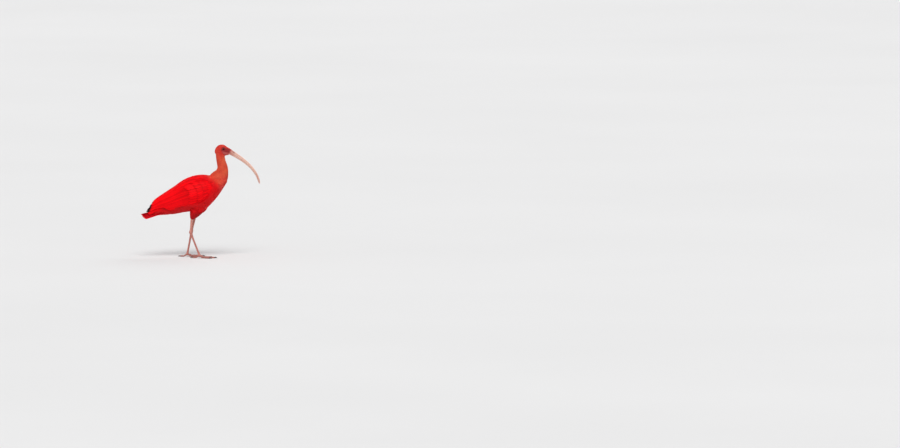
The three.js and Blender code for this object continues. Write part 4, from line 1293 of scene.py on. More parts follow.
def walk_over_skin(starts, normals, lengths, shares, turns):
    """Middle line of each feather, its normals and its sideways direction, row by row."""
    places, facing, sideways = [], [], []
    place, normal = starts, normals
    for step, share in enumerate(shares):
        ahead = lie_of(place)
        ahead = unit(ahead - (ahead * normal).sum(axis=1)[:, None] * normal)
        ahead = in_plane(turns, ahead, np.cross(normal, ahead))
        places.append(place)
        facing.append(normal)
        sideways.append(np.cross(normal, ahead))
        if step + 1 < len(shares):
            stride = (shares[step + 1] - share) * lengths[:, None]
            place, normal = nearest_on_skin(place + ahead * stride)
    return (np.stack(part, axis=1)[:, :, None] for part in (places, facing, sideways))


def vary(count, strength):
    """A factor near 1 for each feather, drawn at random."""
    return 1 + rng.normal(0, strength, (count, 1))


def grow_coat(name, chosen, material, slot, columns, shares, widths, roundness):
    """Feathers on the chosen roots as one mesh."""
    starts, normals, size = roots[chosen], root_normals[chosen], root_sizes[chosen]
    count = len(starts)
    lengths = size[:, 1] * vary(count, LENGTH_SPREAD)[:, 0]
    turns = rng.normal(0, TURN_SPREAD, count)
    middle, facing, sideways = walk_over_skin(starts, normals, lengths, shares, turns)
    across = np.linspace(-1, 1, columns)
    lift = coat_depth(starts)[:, None] * np.interp(shares, LIFT_PLACES, LIFTS) * vary(count, LIFT_SPREAD)
    half_width = size[:, 2][:, None] * widths * vary(count, WIDTH_SPREAD)
    arch = VANE_CURVE * (1 - across ** 2) + SHAFT_CURVE * (across == 0)
    height = lift[..., None] + half_width[..., None] * arch
    grid = middle + facing * height[..., None] + sideways * (half_width[..., None] * across)[..., None]
    ragged = rng.normal(0, TIP_SPREAD, (count, 1, columns)) - roundness * across ** 2
    pulled = (shares[None, :, None] ** 3) * ragged * by_feather(lengths)
    grid = grid + np.cross(sideways, facing) * pulled[..., None]
    tints = plumage_colour(starts) * vary(count, TINT_SPREAD)
    flat, _, _ = unrolled(starts)
    mesh = blades_mesh(name, grid, across, shares, flat, TUFT_PATCH, tints[:, None, None])
    show(mesh, material)


_, root_block, root_progress = unrolled(roots)
_, root_turn = body_place(roots)
on_trunk = root_block == 0
above = np.cos(root_turn) >= 0
on_head = on_trunk & (root_progress < HEAD_TO)
on_neck = on_trunk & (root_progress >= HEAD_TO) & (root_progress < NECK_TO)
on_body = on_trunk & (root_progress >= NECK_TO)

for name, chosen in (("coat_head", on_head), ("coat_neck", on_neck)):
    grow_coat(name, chosen, neck_feathers, "neck_feathers", **VELVET, roundness=0.12)
body_pieces = {
    "coat_breast": on_body & ~above & (root_progress < BREAST_TO),
    "coat_belly": on_body & ~above & (root_progress >= BREAST_TO),
    "coat_back": on_body & above,
}
for name, chosen in body_pieces.items():
    grow_coat(name, chosen, body_feathers, "body_feathers", **SCALE)
for number, name in enumerate(LEGS, start=1):
    on_leg = root_block == number
    grow_coat(f"coat_thigh_{name}", on_leg, body_feathers, "thigh_feathers", **VELVET, roundness=0.15)

# %% [markdown]
# ## The folded wings
# A folded wing is a stack of tiled rows. At the back lie the long primaries and secondaries, closed like a
# fan under the tertials, and over their roots lie the greater, median and lesser coverts, each row shorter
# than the one behind it, down to tiny ones at the bend of the wing. Modelled as one carved shell it would
# look like a helmet, so each feather is its own blade, laid along the body's outline: its lower edge lies
# over its neighbour, its upper edge slips under the next, and its tip stands a fraction higher than the row
# behind, as shingles do. These feathers are too big for a tuft's patch of colour, so each has a strip of
# its own, side by side.

# %% Rows of the wing
# Each pair runs from the back down to the belly: place along the body line, or behind the wing's front
# edge, then angle round the body in degrees, both for roots and tips. `depth` is how deep inside the
# outline roots and tips lie. Places, half widths, depths and tilts are in millimetres.
WING_ROWS = {
    "primaries": dict(count=7, along=((196, 188), (262, 284)), turn=((62, 108), (28, 66)),
                      half_width=5.4, depth=(5.4, 2.2), tilt=0.8, round_from=0.72, black_tip=0.2),
    "secondaries": dict(count=11, along=((110, 98), (257, 212)), turn=((56, 120), (43, 121)),
                        half_width=6.4, depth=(3.8, 1.6), tilt=0.7, round_from=0.9),
    "tertials": dict(count=5, along=((104, 98), (246, 259)), turn=((7, 48), (6, 40)),
                     half_width=8.2, depth=(3.8, 0.9), tilt=0.7, round_from=0.88),
    "greater_coverts": dict(count=12, behind_front=((58, 54), (110, 97)), turn=((30, 118), (28, 121)),
                            half_width=6.6, depth=(4.4, 1.0), tilt=0.75, round_from=0.78),
    "median_coverts": dict(count=14, behind_front=((36, 36), (78, 72)), turn=((32, 118), (30, 121)),
                           half_width=5.6, depth=(4.2, 0.7), tilt=0.7, round_from=0.62),
    "lesser_coverts": dict(count=15, behind_front=((22, 22), (56, 52)), turn=((34, 117), (32, 120)),
                           half_width=5.2, depth=(4.2, 0.6), tilt=0.65, round_from=0.58),
    "small_coverts": dict(count=16, behind_front=((11, 11), (38, 36)), turn=((36, 116), (34, 119)),
                          half_width=4.8, depth=(4.2, 0.6), tilt=0.6, round_from=0.55),
    "bend_coverts": dict(count=17, behind_front=((2, 2), (22, 21)), turn=((38, 114), (36, 117)),
                         half_width=4.2, depth=(4.4, 0.9), tilt=0.5, round_from=0.5),
    "front_coverts": dict(count=18, behind_front=((-6, -6), (10, 9)), turn=((42, 112), (40, 115)),
                          half_width=3.7, depth=(4.6, 1.6), tilt=0.4, round_from=0.5),
    "rear_scapulars": dict(count=5, along=((84, 78), (162, 176)), turn=((4, 34), (4, 33)),
                           half_width=8.0, depth=(3.8, 0.6), tilt=0.7, round_from=0.8),
    "scapulars": dict(count=5, along=((58, 52), (126, 134)), turn=((4, 36), (4, 35)),
                      half_width=7.6, depth=(3.8, 0.3), tilt=0.7, round_from=0.76),
    "front_scapulars": dict(count=5, along=((38, 34), (92, 96)), turn=((4, 38), (4, 37)),
                            half_width=7.0, depth=(3.8, 0.0), tilt=0.7, round_from=0.72),
}
ROWS_ALONG = 17
ROWS_GATHER = 1.8  # a power that brings the rows closer together towards the tip
COLUMN_PLACES = np.array([-1, -0.78, -0.42, -0.09, 0, 0.09, 0.42, 0.78, 1])
VANE_SHARES = 1 - (1 - np.linspace(0, 1, ROWS_ALONG)) ** ROWS_GATHER
QUILL_WIDTH = 0.62
QUILL_REACH = 0.3  # share of the length over which the vane widens
TIP_POWER = 2.2
TIP_LEAST = 0.012
RISE_LENGTH = 36 * MM  # how far behind its root a feather reaches its own level
SHAFT_RISE = 0.28 * MM
SHAFT_THINS = 0.6
VANE_ARCH = 0.5 * MM
TIP_SWEEP = 0.22  # how far the tip's edges fall back behind its middle, as a share of the half width
EDGE_WEAR = 0.03
WORN_FROM = 0.3  # share of the length
CLEFT_CHANCE = 0.05  # of a split between barbs at a place on the edge
CLEFT_DEPTH = 0.3
CLEFTS_LIE = (0.35, 0.93)
TURN_VARIES = math.radians(1.0)
LENGTH_VARIES = 1.3 * MM
LEVEL_VARIES = 0.22 * MM
WIDTH_VARIES = 0.03
SHADE_VARIES = 0.1
HUE_VARIES = 0.04
TIP_BLACK = np.array([0.012, 0.008, 0.009])
BLACK_BLEND = 0.45  # share of the black part over which the red runs into it
STRIP_FILL = np.array([0.9, 0.98])  # how much of its strip on the OFBake map a feather takes


def vane_widths(shares, round_from):
    """Width along a flight feather: narrow at the quill, full in the middle, rounded at the tip."""
    quill = mix(QUILL_WIDTH, 1.0, smoothstep(shares, 0, QUILL_REACH))
    beyond = np.clip((shares - round_from) / (1 - round_from), 0, 1)
    return quill * np.sqrt(np.maximum(1 - beyond ** TIP_POWER, TIP_LEAST))


def ends_of_row(row, random):
    """Where the roots and tips of a row lie: along the body, and as angles round it."""
    rank = np.linspace(0, 1, row["count"])
    root_turn, tip_turn = (np.radians(mix(*turns, rank)) for turns in row["turn"])
    if "along" in row:
        root_along, tip_along = (mix(*places, rank) * MM for places in row["along"])
    else:
        front = wing_front(root_turn)
        root_along, tip_along = (front + mix(*places, rank) * MM for places in row["behind_front"])
    tip_turn = tip_turn + random.normal(0, TURN_VARIES, len(rank))
    tip_along = tip_along + random.normal(0, LENGTH_VARIES, len(rank))
    return tuple(by_feather(values) for values in (root_along, tip_along, root_turn, tip_turn))


def worn_widths(row, random):
    """Shares of the full half width at each row and column, with worn edges and splits between barbs."""
    shares = VANE_SHARES[:, None]
    shape = (row["count"], ROWS_ALONG, len(COLUMN_PLACES))
    wear = random.normal(0, EDGE_WEAR, (row["count"], ROWS_ALONG, 1)) * (shares > WORN_FROM)
    on_edge = (np.abs(COLUMN_PLACES) == 1) * ((shares > CLEFTS_LIE[0]) & (shares < CLEFTS_LIE[1]))
    clefts = CLEFT_DEPTH * on_edge * (random.random(shape) < CLEFT_CHANCE)
    own_width = by_feather(1 + random.normal(0, WIDTH_VARIES, row["count"]))
    return vane_widths(shares, row["round_from"]) * (1 + wear - clefts) * own_width


def row_tints(row, random):
    """Colours of a row's feathers, point by point, with black at the tips of the primaries."""
    count = row["count"]
    tints = BACK_RED * (1 + random.normal(0, SHADE_VARIES, (count, 1)))
    tints = tints * (1 + random.normal(0, HUE_VARIES, (count, 3)))
    tints = np.broadcast_to(tints[:, None, None], (count, ROWS_ALONG, len(COLUMN_PLACES), 3))
    if "black_tip" in row:
        black_from = 1 - row["black_tip"]
        black = smoothstep(VANE_SHARES, black_from, black_from + BLACK_BLEND * row["black_tip"])
        tints = mix(tints, TIP_BLACK, black[:, None, None])
    return tints


def vane_row(row, random):
    """Grids of points for one row of feathers on the left side, and their tints."""
    down = VANE_SHARES[:, None]
    across = COLUMN_PLACES
    outline = row.get("outline", body_outline)
    root_along, tip_along, root_turn, tip_turn = ends_of_row(row, random)
    along = mix(root_along, tip_along, down)
    half_width = worn_widths(row, random) * row["half_width"] * MM
    angle = mix(root_turn, tip_turn, down) + across * half_width / outline_radius(along, outline)
    risen = np.minimum(1, (along - root_along) / RISE_LENGTH)
    level = mix(*row["depth"], risen) * MM
    level = level + by_feather(random.normal(0, LEVEL_VARIES, row["count"])) * down
    full = vane_widths(down, row["round_from"])
    tilt = row["tilt"] * MM * np.sign(root_turn)
    shaft = SHAFT_RISE * (across == 0) * (1 - SHAFT_THINS * down)
    depth = level - full * (across * tilt + VANE_ARCH * (1 - across ** 2)) - shaft
    swept_back = TIP_SWEEP * row["half_width"] * MM * down ** 4 * across ** 2
    return body_point(along - swept_back, angle, depth, outline), row_tints(row, random)


def strips_mesh(name, grid, columns, tints):
    """Long feathers as one mesh, each with its own upright strip of the OFBake map."""
    count = len(grid)
    middles = np.column_stack([(np.arange(count) + 0.5) / count, np.full(count, 0.5)])
    return blades_mesh(name, grid, columns, VANE_SHARES, middles, STRIP_FILL / [count, 1], tints)


def wing_mesh(name, side):
    """All rows of one wing; the right wing is the mirror image, with its chances drawn anew."""
    random = np.random.default_rng(40 + side)
    rows = [vane_row(row, random) for row in WING_ROWS.values()]
    grid, tints = (np.concatenate(parts) for parts in zip(*rows))
    grid = grid * [1, side, 1]
    # Turning the columns round keeps the faces of the mirrored blades outward.
    return strips_mesh(name, grid[:, :, ::side], COLUMN_PLACES[::side], tints[:, :, ::side])


for name, side in SIDES.items():
    show(wing_mesh(f"feathers_wing_{name}", side), wing_feathers, (f"wing_{name}",))

# %% [markdown]
# ## The tail
# Twelve tail feathers, closed to a narrow stack, show behind and below the wing tips: the middle pair lies
# on top and each next one slips under it. They are the same blades as in the wing, but the tail has a flat
# arched shape of its own, so they are laid side by side on that. Two rows of soft coverts, laid on the rump
# as the wing's rows are on the body, close the gap between the tail's root and the wing tips.

# %% Tail feathers
TAIL_PAIRS = 6
TAIL_ROOT = 222 * MM
TAIL_TIP = 303 * MM
TAIL_TIP_VARIES = 0.5 * MM
TAIL_ROUNDING = 7 * MM  # how much shorter the outermost pair is
TAIL_ROUND_FROM = 0.86
TAIL_HALF_WIDTH = 6.2 * MM
TAIL_TILT = 0.65 * MM
TAIL_SWEEP = 1.2 * MM
TAIL_DROP_POWER = 1.6
TAIL_SHADE_VARIES = 0.08
# Each at the tail's root and at its tip: space between neighbours, height of the middle pair over the body
# line, how far the outermost pair hangs below it, and how steeply that pair leans outward.
TAIL_SPACES = np.array([2.0, 3.3]) * MM
TAIL_LEVELS = np.array([-5, 7]) * MM
TAIL_DROPS = np.array([12, 16]) * MM
TAIL_LEANS = np.array([0.35, 0.9])
TAIL_RED = np.array([0.62, 0.005, 0.012])
# The outline that the coverts lie on: place along the body line, top, bottom and half width.
TAIL_COVER = np.array([
    [196, 38, -32, 28],
    [240, 27, -20, 20],
    [264, 17, -20, 17],
    [292, 7.5, -28, 18],
]) * MM
TAIL_ROWS = {
    "tail_coverts": dict(count=11, along=((218, 218), (279, 279)), turn=((-92, 92), (-80, 80)),
                         half_width=5.8, depth=(4, 1.2), tilt=0.5, round_from=0.8),
    "rump_coverts": dict(count=13, along=((196, 196), (254, 254)), turn=((-96, 96), (-90, 90)),
                         half_width=6.2, depth=(4, 0.4), tilt=0.5, round_from=0.78),
}


def tail_vane(rank, side, random):
    """One tail feather's grid, `rank` places out from the middle."""
    shares = VANE_SHARES[:, None]
    widths = vane_widths(shares, TAIL_ROUND_FROM)
    columns = COLUMN_PLACES[None]
    spread_out = rank / (TAIL_PAIRS - 0.5)
    reach = TAIL_TIP - TAIL_ROUNDING * spread_out ** 2 + random.normal(0, TAIL_TIP_VARIES)
    along = mix(TAIL_ROOT, reach, shares) - TAIL_SWEEP * shares ** 4 * columns ** 2
    level = mix(*TAIL_LEVELS, shares) - mix(*TAIL_DROPS, shares) * spread_out ** TAIL_DROP_POWER
    lean = mix(*TAIL_LEANS, shares) * spread_out
    out = TAIL_HALF_WIDTH * widths * columns
    lift = TAIL_TILT * widths * columns + VANE_ARCH * (1 - columns ** 2) + SHAFT_RISE * (columns == 0)
    across = (mix(*TAIL_SPACES, shares) * rank + out * np.cos(lean)) * side
    return on_body_line(along, level - out * lean + lift, across)[:, ::side]


def tail_mesh(name):
    """Long feathers from the middle pair outwards, then the coverts; the open edge is the outer one."""
    random = np.random.default_rng(23)
    places = [(pair + 0.5, side) for pair in range(TAIL_PAIRS) for side in (1, -1)]
    grid = np.array([tail_vane(rank, side, random) for rank, side in places])
    columns = np.array([COLUMN_PLACES[::side] for _, side in places])
    tints = TAIL_RED * (1 + random.normal(0, TAIL_SHADE_VARIES, (len(grid), 1)))
    tints = np.broadcast_to(tints[:, None, None], grid.shape)
    cover = run_through(TAIL_COVER)
    for row in TAIL_ROWS.values():
        row_grid, row_colours = vane_row(dict(row, outline=cover), random)
        open_edge = np.where(np.linspace(-1, 1, row["count"]) < 0, -1, 1)
        grid = np.concatenate([grid, row_grid])
        columns = np.concatenate([columns, open_edge[:, None] * COLUMN_PLACES])
        tints = np.concatenate([tints, row_colours])
    return strips_mesh(name, grid, columns, tints)


show(tail_mesh("feathers_tail"), wing_feathers, ("tail",))

# %% [markdown]
# ## Eyes and lids
# A bird's eye is mostly hidden: what shows is a clear bulge, the cornea, over a dark brown ring and a black
# pupil. The eyeball is turned on an axis like a pot, from a profile that swells at the front, so it isn't a
# plain ball. The lids are a thick wrinkled ring of skin that lies on it. Each stands in its solid's place.

# %% Eyeballs
EYE_RINGS = 40
EYE_SIDES = 48
EYE_POLE = 0.02  # the first and last ring are this far from the axis, as an angle
EYE_AHEAD = 0.22  # how far the axis leans forward and up
EYE_UP = 0.04
EYE_SHRINK = 0.01  # a little inside the solid, so that the lids close on it
CORNEA_RISE = 0.05
CORNEA_WIDTH = 0.55
# How far from the front pole the iris and the pupil reach, as shares of the way to the other pole.
IRIS_SHARE = 48 / 180
PUPIL_SHARE = 25 / 180
IRIS_BROWN = (0.1, 0.022, 0.009)
IRIS_RAYS = (0.03, 0.008, 0.004)
PUPIL_BLACK = (0.001, 0.001, 0.001)
EYE_RIM = (0.02, 0.006, 0.005)


def eye_mesh(name, middle, side):
    """A ball with a bulging cornea; its axis points sideways and a little forward."""
    axis = unit(np.array([EYE_AHEAD, side, EYE_UP]))
    upward = unit(np.cross(axis, FORWARD))
    polar = np.linspace(EYE_POLE, math.pi - EYE_POLE, EYE_RINGS)[:, None]
    around = circle(EYE_SIDES)[None]
    reach = EYE_RADIUS * (1 + CORNEA_RISE * hill(polar, 0, CORNEA_WIDTH) - EYE_SHRINK)
    sideways = in_plane(around, np.cross(upward, axis), upward)
    rings = middle + reach[..., None] * in_plane(polar, axis, sideways)
    flat = np.broadcast_arrays(polar / math.pi, around / (2 * math.pi))
    return tube_mesh(name, rings, {"Vane": np.stack(flat, -1)})


eye_material, tree, shader = start_material("eye", {
    "Roughness": 0.25,
    "Specular IOR Level": 0.08,
    "Coat Weight": 0.22,
    "Coat Roughness": 0.1,
})
from_pole = vane_parts(tree)["X"]
iris_rays = spread(tree, noise(tree, place_on(tree), 1600.0, 3.0), 0.35, 0.7)
colour = blend_colours(tree, iris_rays, IRIS_BROWN, IRIS_RAYS)
out_of_pupil = spread(tree, from_pole, PUPIL_SHARE - 0.006, PUPIL_SHARE + 0.006)
colour = blend_colours(tree, out_of_pupil, PUPIL_BLACK, colour)
out_of_iris = spread(tree, from_pole, IRIS_SHARE - 0.01, IRIS_SHARE + 0.02)
colour = blend_colours(tree, out_of_iris, colour, EYE_RIM)
feed(tree, shader.inputs["Base Color"], colour)

for name, side in SIDES.items():
    show(eye_mesh(f"ball_eye_{name}", EYE * [1, side, 1], side), eye_material, (f"eye_{name}",))

# %% Lids
LID_STEPS = 180
LID_POINTS = 44
LID_TILT = math.radians(14)
# Across the lid, from its inner edge on the eyeball to its outer edge under the skin and back beneath:
# distance from the eye's axis and height over the middle of the eyeball.
LID_PROFILE = np.array([
    [3.45, 3.6],
    [3.2, 3.95],
    [3.4, 4.35],
    [3.9, 4.42],
    [4.3, 4.12],
    [4.75, 4.15],
    [5.2, 3.85],
    [5.6, 3.75],
    [6.2, 3.2],
    [6.7, 2.3],
    [6.4, 1.4],
    [5.2, 1.5],
]) * MM
OPENING = np.array([3.4, 5.4]) * MM  # distances from the axis between which the opening's shape fades out
CORNERS_DRAWN = 0.45 * MM  # how far the eye's front and back corners are drawn out
UPPER_LID_FALLS = 0.35 * MM
WRINKLE_SIZE = 0.8 * MM
WRINKLE_HEIGHT = 0.11 * MM
SPOKE_HEIGHT = 0.05 * MM
SPOKES = 38
SPOKE_WANDER = 5
# Painted shade along the lids' edge, where they meet the eyeball.
LID_EDGE_PAINTED_SHADE = 0.75
EDGE_FADE = (0.7, 1.0)  # how near the opening the dark edge begins and is full


def lid_mesh(name, side):
    """Wrinkled lids round the eye, the opening a little almond shaped; they face up a little."""
    stations = np.arange(len(LID_PROFILE) + 1)
    profile = run_through(np.column_stack([stations, np.vstack([LID_PROFILE, LID_PROFILE[:1]])]))
    reach, height = profile(np.linspace(0, len(LID_PROFILE), LID_POINTS, endpoint=False)).T[:, None]
    reach, height, around = np.broadcast_arrays(reach, height, circle(LID_STEPS)[:, None])
    near_opening = 1 - smoothstep(reach, *OPENING)
    almond = CORNERS_DRAWN * np.cos(around) ** 2 - UPPER_LID_FALLS * np.maximum(np.sin(around), 0)
    reach = reach + near_opening * almond
    left = side * LEFTWARD
    ring_axis = math.cos(LID_TILT) * left + math.sin(LID_TILT) * UPWARD
    ring_up = math.cos(LID_TILT) * UPWARD - math.sin(LID_TILT) * left
    rings = EYE * [1, side, 1] + reach[..., None] * in_plane(around, FORWARD, ring_up)
    rings = rings + height[..., None] * ring_axis
    wrinkles = patches(rings.reshape(-1, 3), WRINKLE_SIZE).reshape(rings.shape[:2])
    spokes = np.sin(SPOKES * around + SPOKE_WANDER * wrinkles) * near_opening
    rings = rings + (WRINKLE_HEIGHT * wrinkles + SPOKE_HEIGHT * spokes)[..., None] * ring_axis
    # Turning the points round keeps the mirrored faces outward.
    rings, near_opening = rings[:, ::side], near_opening[:, ::side]
    faces = tube_faces(LID_STEPS + 1, LID_POINTS) % (LID_STEPS * LID_POINTS)
    # Painted shade: the lids darken towards the opening, where they meet the eyeball.
    tints = mix(FACE_RED, SLIT_PAINTED_SHADE, LID_EDGE_PAINTED_SHADE * smoothstep(near_opening, *EDGE_FADE)[..., None])
    return mesh_of(name, rings, faces, tints=tints.reshape(-1, 3))


for name, side in SIDES.items():
    show(lid_mesh(f"lid_{name}", side), skin_material)

# %% [markdown]
# ## The bill
# The bill is a long horn sheath that bends down more and more towards its tip. Each half is lofted along
# that line from its sizes at seven places, with many more rings than the solids need, so that the curve
# stays clean in a close look. A groove runs forward from the nostril along each side of the upper half, and
# the nostril is a slit at its root. The horn is pink at the face, ivory along the middle and dusky towards
# the tip, with faint lengthwise grain, and near its root it is rough and ringed.

# %% Bill halves
BILL_RINGS = 260
BILL_GATHER = 1.3  # a power that brings the rings closer together towards the root
BILL_STEPS = 12  # small steps to a ring, to add up the bend
BILL_ARC = 84
BILL_START = 0.3 * MM  # how far the first ring is pushed ahead of the base
LOWER_SHORTER = 1.2 * MM  # how much sooner the lower half ends, nearly all of it close to the tip
LIP_GAP = 0.16 * MM  # from the bill's line to the edge of each half
QUARTER_TURN = math.pi / 2
# Angles are counted from the ridge of the half, heights as shares of the half's own size.
GROOVE_ANGLE = math.radians(52)
GROOVE_WIDTH = math.radians(9)
GROOVE_DEPTH = 0.15
GROOVE_FADE = 0.8
NOSTRIL_SHARE = 0.08
NOSTRIL_HALF = 0.034
NOSTRIL_ANGLE = math.radians(46)
NOSTRIL_WIDTH = math.radians(4.6)
NOSTRIL_DEPTH = 0.3
EDGE_DEPTH = 0.03
EDGE_WIDTH = 0.16
# The rough rings at the root: height, spacing as a frequency, how they wander, and how far they reach.
ROOT_RINGS_HEIGHT = 0.011
ROOT_RINGS = 230
ROOT_RINGS_WANDER = (1.2, 61)
ROOT_RINGS_REACH = 0.11
BILL_PINK = np.array([0.62, 0.27, 0.215])
BILL_IVORY = np.array([0.84, 0.58, 0.48])
BILL_DUSKY = np.array([0.64, 0.31, 0.24])
PINK_TO = 0.16
DUSKY_FROM = 0.6
DUSKY_WEIGHT = 0.7
# Painted shade in the nostril's slit.
NOSTRIL_PAINTED_SHADE = 0.97
NOSTRIL_FADE = (0.04, 0.35)
# Painted shade in the groove along the upper half.
GROOVE_PAINTED_SHADE = 0.62
# Painted shade towards the lips, where the two halves meet.
LIPS_FROM = 0.8 * QUARTER_TURN
LIP_PAINTED_SHADE = 0.8


def bill_line(count):
    """Places, headings and upward directions along the bill, and each ring's share of its length."""
    fine = np.linspace(0, 1, BILL_STEPS * count)
    heading = BILL_HEADING + BILL_TURN * fine ** 2
    steps = in_plane(heading, FORWARD, UPWARD) * BILL_LENGTH / (len(fine) - 1)
    places = BILL_BASE + np.concatenate([np.zeros((1, 3)), np.cumsum(steps[:-1], axis=0)])
    picked = np.round(np.linspace(0, 1, count) ** BILL_GATHER * (len(fine) - 1)).astype(int)
    ahead = unit(steps[picked])
    return places[picked], ahead, np.cross(ahead, LEFTWARD), fine[picked]


def nostril(share, off_ridge):
    """1 in the slit of the nostril, narrower towards its two ends; the high powers give it firm edges."""
    along = (share - NOSTRIL_SHARE) / NOSTRIL_HALF
    narrow = NOSTRIL_WIDTH * (1 - 0.5 * np.abs(along).clip(0, 1))
    return np.exp(-(along ** 6)) * np.exp(-(((off_ridge - NOSTRIL_ANGLE) / narrow) ** 4))


def bill_half(name, way):
    """The upper half for way 1 and the lower half for way -1."""
    places, ahead, upward, shares = bill_line(BILL_RINGS)
    half_width, upper, lower = np.moveaxis(bill_section(shares), -1, 0)
    depth = upper if way > 0 else lower
    places[0] += ahead[0] * BILL_START
    turn = np.linspace(0, np.pi, BILL_ARC)[None]
    off_ridge = np.abs(turn - QUARTER_TURN)
    share = shares[:, None]
    wander, slower = ROOT_RINGS_WANDER
    root_rings = np.sin(share * ROOT_RINGS + wander * np.sin(share * slower))
    scale = 1 + ROOT_RINGS_HEIGHT * root_rings * np.exp(-share / ROOT_RINGS_REACH)
    colour = mix(BILL_PINK, BILL_IVORY, smoothstep(share, 0.0, PINK_TO)[..., None])
    colour = mix(colour, BILL_DUSKY, DUSKY_WEIGHT * smoothstep(share, DUSKY_FROM, 1.0)[..., None])
    if way > 0:
        groove = hill(off_ridge, GROOVE_ANGLE, GROOVE_WIDTH)
        slit = nostril(share, off_ridge)
        scale = scale - GROOVE_DEPTH * groove * (1 - share) ** GROOVE_FADE - NOSTRIL_DEPTH * slit
        scale = scale - EDGE_DEPTH * hill(off_ridge, QUARTER_TURN, EDGE_WIDTH)
        # Painted shade: the nostril's slit is painted nearly black.
        colour = mix(colour, SLIT_PAINTED_SHADE, NOSTRIL_PAINTED_SHADE * smoothstep(slit, *NOSTRIL_FADE)[..., None])
        # Painted shade: the groove is painted darker.
        colour = mix(colour, colour * GROOVE_PAINTED_SHADE, (groove * (1 - share))[..., None])
    else:
        places = places - ahead * (LOWER_SHORTER * share ** 6)
    # Painted shade: both halves are painted darker towards the lips.
    near_lips = smoothstep(off_ridge, LIPS_FROM, QUARTER_TURN)
    colour = mix(colour, colour * LIP_PAINTED_SHADE, near_lips[..., None])
    side = np.cos(turn) * half_width[:, None] * scale
    above = way * (LIP_GAP + np.sin(turn) * depth[:, None] * scale)
    rings = places[:, None] + side[..., None] * LEFTWARD + above[..., None] * upward[:, None]
    flat = np.stack(np.broadcast_arrays(turn / np.pi, share), -1)
    # Turning the points round keeps the lower half's faces outward.
    return tube_mesh(name, rings[:, ::way], {"Vane": flat}, colour)


bill_material, tree, shader = start_material("bill_horn", {
    "Roughness": 0.42,
    "Specular IOR Level": 0.4,
    **seeping(0.12, (0.003, 0.0015, 0.001)),
})
stretched = {0: vane_map(tree), 1: (90.0, 5.0, 1.0)}
grain_place = add_node(tree, "ShaderNodeVectorMath", stretched, operation="MULTIPLY").outputs[0]
grain = noise(tree, grain_place, 1.0, 4.0, 0.6)
mottle = spread(tree, noise(tree, place_on(tree), 260.0, 4.0, 0.6), 0.35, 0.72)
colour = blend_colours(tree, mottle, tint_of(tree)["Color"], (0.84, 0.7, 0.66), "MULTIPLY")
grain_lines = spread(tree, grain, 0.44, 0.62, 0.0, 0.85)
colour = blend_colours(tree, grain_lines, colour, (0.78, 0.62, 0.56), "MULTIPLY")
feed(tree, shader.inputs["Base Color"], colour)
feed(tree, shader.inputs["Roughness"], spread(tree, mottle, 0.0, 1.0, 0.3, 0.48))
add_relief(tree, shader, grain, 0.25 * MM, 0.9)

show(bill_half("horn_upper", 1), bill_material, ("upper_bill",))
show(bill_half("horn_lower", -1), bill_material, ("lower_bill",))

# %% [markdown]
# ## Legs and feet
# Below the feathers an ibis has long thin shanks with a knob at the hock, and four slender toes with a pad
# under each joint and a little web at their roots. Shin, shank and foot are one skin, so each leg is melted
# from its tubes as the body was, only finer. Its scales are shallow: bands across the front of the shank
# and the tops of the toes are pressed into the mesh, and the small six-sided scales between them are relief
# in the material.

# %% Leg forms
# Yaw from the middle of the foot in degrees, outward positive, then length and half width in millimetres.
TOES = {"inner": (-27, 39, 3.3), "middle": (1, 51, 3.5), "outer": (29, 42, 3.4), "hind": (171, 23, 2.9)}
SHIN_SECTION = np.array([
    [-0.16, 3.2, 3.6],
    [0, 3.6, 4],
    [0.6, 2.9, 3.3],
    [0.82, 3.1, 3.6],
    [0.95, 4.3, 5],
    [1, 4.5, 5.2],
]) * [1, MM, MM]
TARSUS_SECTION = np.array([
    [0, 4.4, 5.1],
    [0.07, 4, 4.8],
    [0.2, 2.8, 3.5],
    [0.8, 2.6, 3.1],
    [0.93, 3.3, 3.6],
    [1, 3.9, 4],
]) * [1, MM, MM]
SHIN_RINGS = 40
TARSUS_RINGS = 50
LEG_SIDES = 28
KNOBS = {"hock": 5 * MM, "ankle": 4.3 * MM}
KNOB_HEIGHTS = np.linspace(-0.98, 0.98, 14)  # as shares of the radius
TOE_RINGS = 90
TOE_SIDES = 24
TOE_ROOT_DROP = 2.2  # mm, from the ankle's middle down to where the toes begin
TOE_ARCH = (0.55, 6.2)  # a stop on the way to the bend: share of that way, and height in mm
TOE_BENDS = {"inner": 0.3, "middle": 0.3, "outer": 0.3, "hind": 0.45}  # where it comes to the ground
# Heights of a toe's middle line, as shares of its half width, at its bend, further on and at its end.
TOE_LINE = (0.95, 0.8, 0.66)
TOE_FURTHER = 0.7
TOE_TAPER = 0.74
TOE_END = 0.94  # share of the toe's length from where its end is rounded
TOE_TIP = 0.96
PAD_SWELL = 0.12
PADS = {"inner": 3, "middle": 3, "outer": 3, "hind": 1}
WEB_STEPS = np.linspace(0, 1, 9)
WEB_REACH = (2, 12)  # mm, from the ankle to the web's first and last row
WEB_HEIGHTS = (5.4, 2.0)
WEB_STRETCH = 1.2
WEB_SAG = 0.12
WEB_HALF_THICKNESS = 0.8 * MM
LEG_VOXEL = 0.45 * MM
LEG_SMOOTHING = 3


def toe_heading(leg, yaw):
    angle = math.radians(leg["yaw"] + leg["side"] * yaw)
    return np.array([math.cos(angle), math.sin(angle), 0])


def line_over_ground(start, heading, stops, count):
    """A smooth line ahead of `start` through stops of reach and height in millimetres."""
    stops = [start + (heading * reach + UPWARD * height) * MM for reach, height in stops]
    return smooth_line(stops, count)


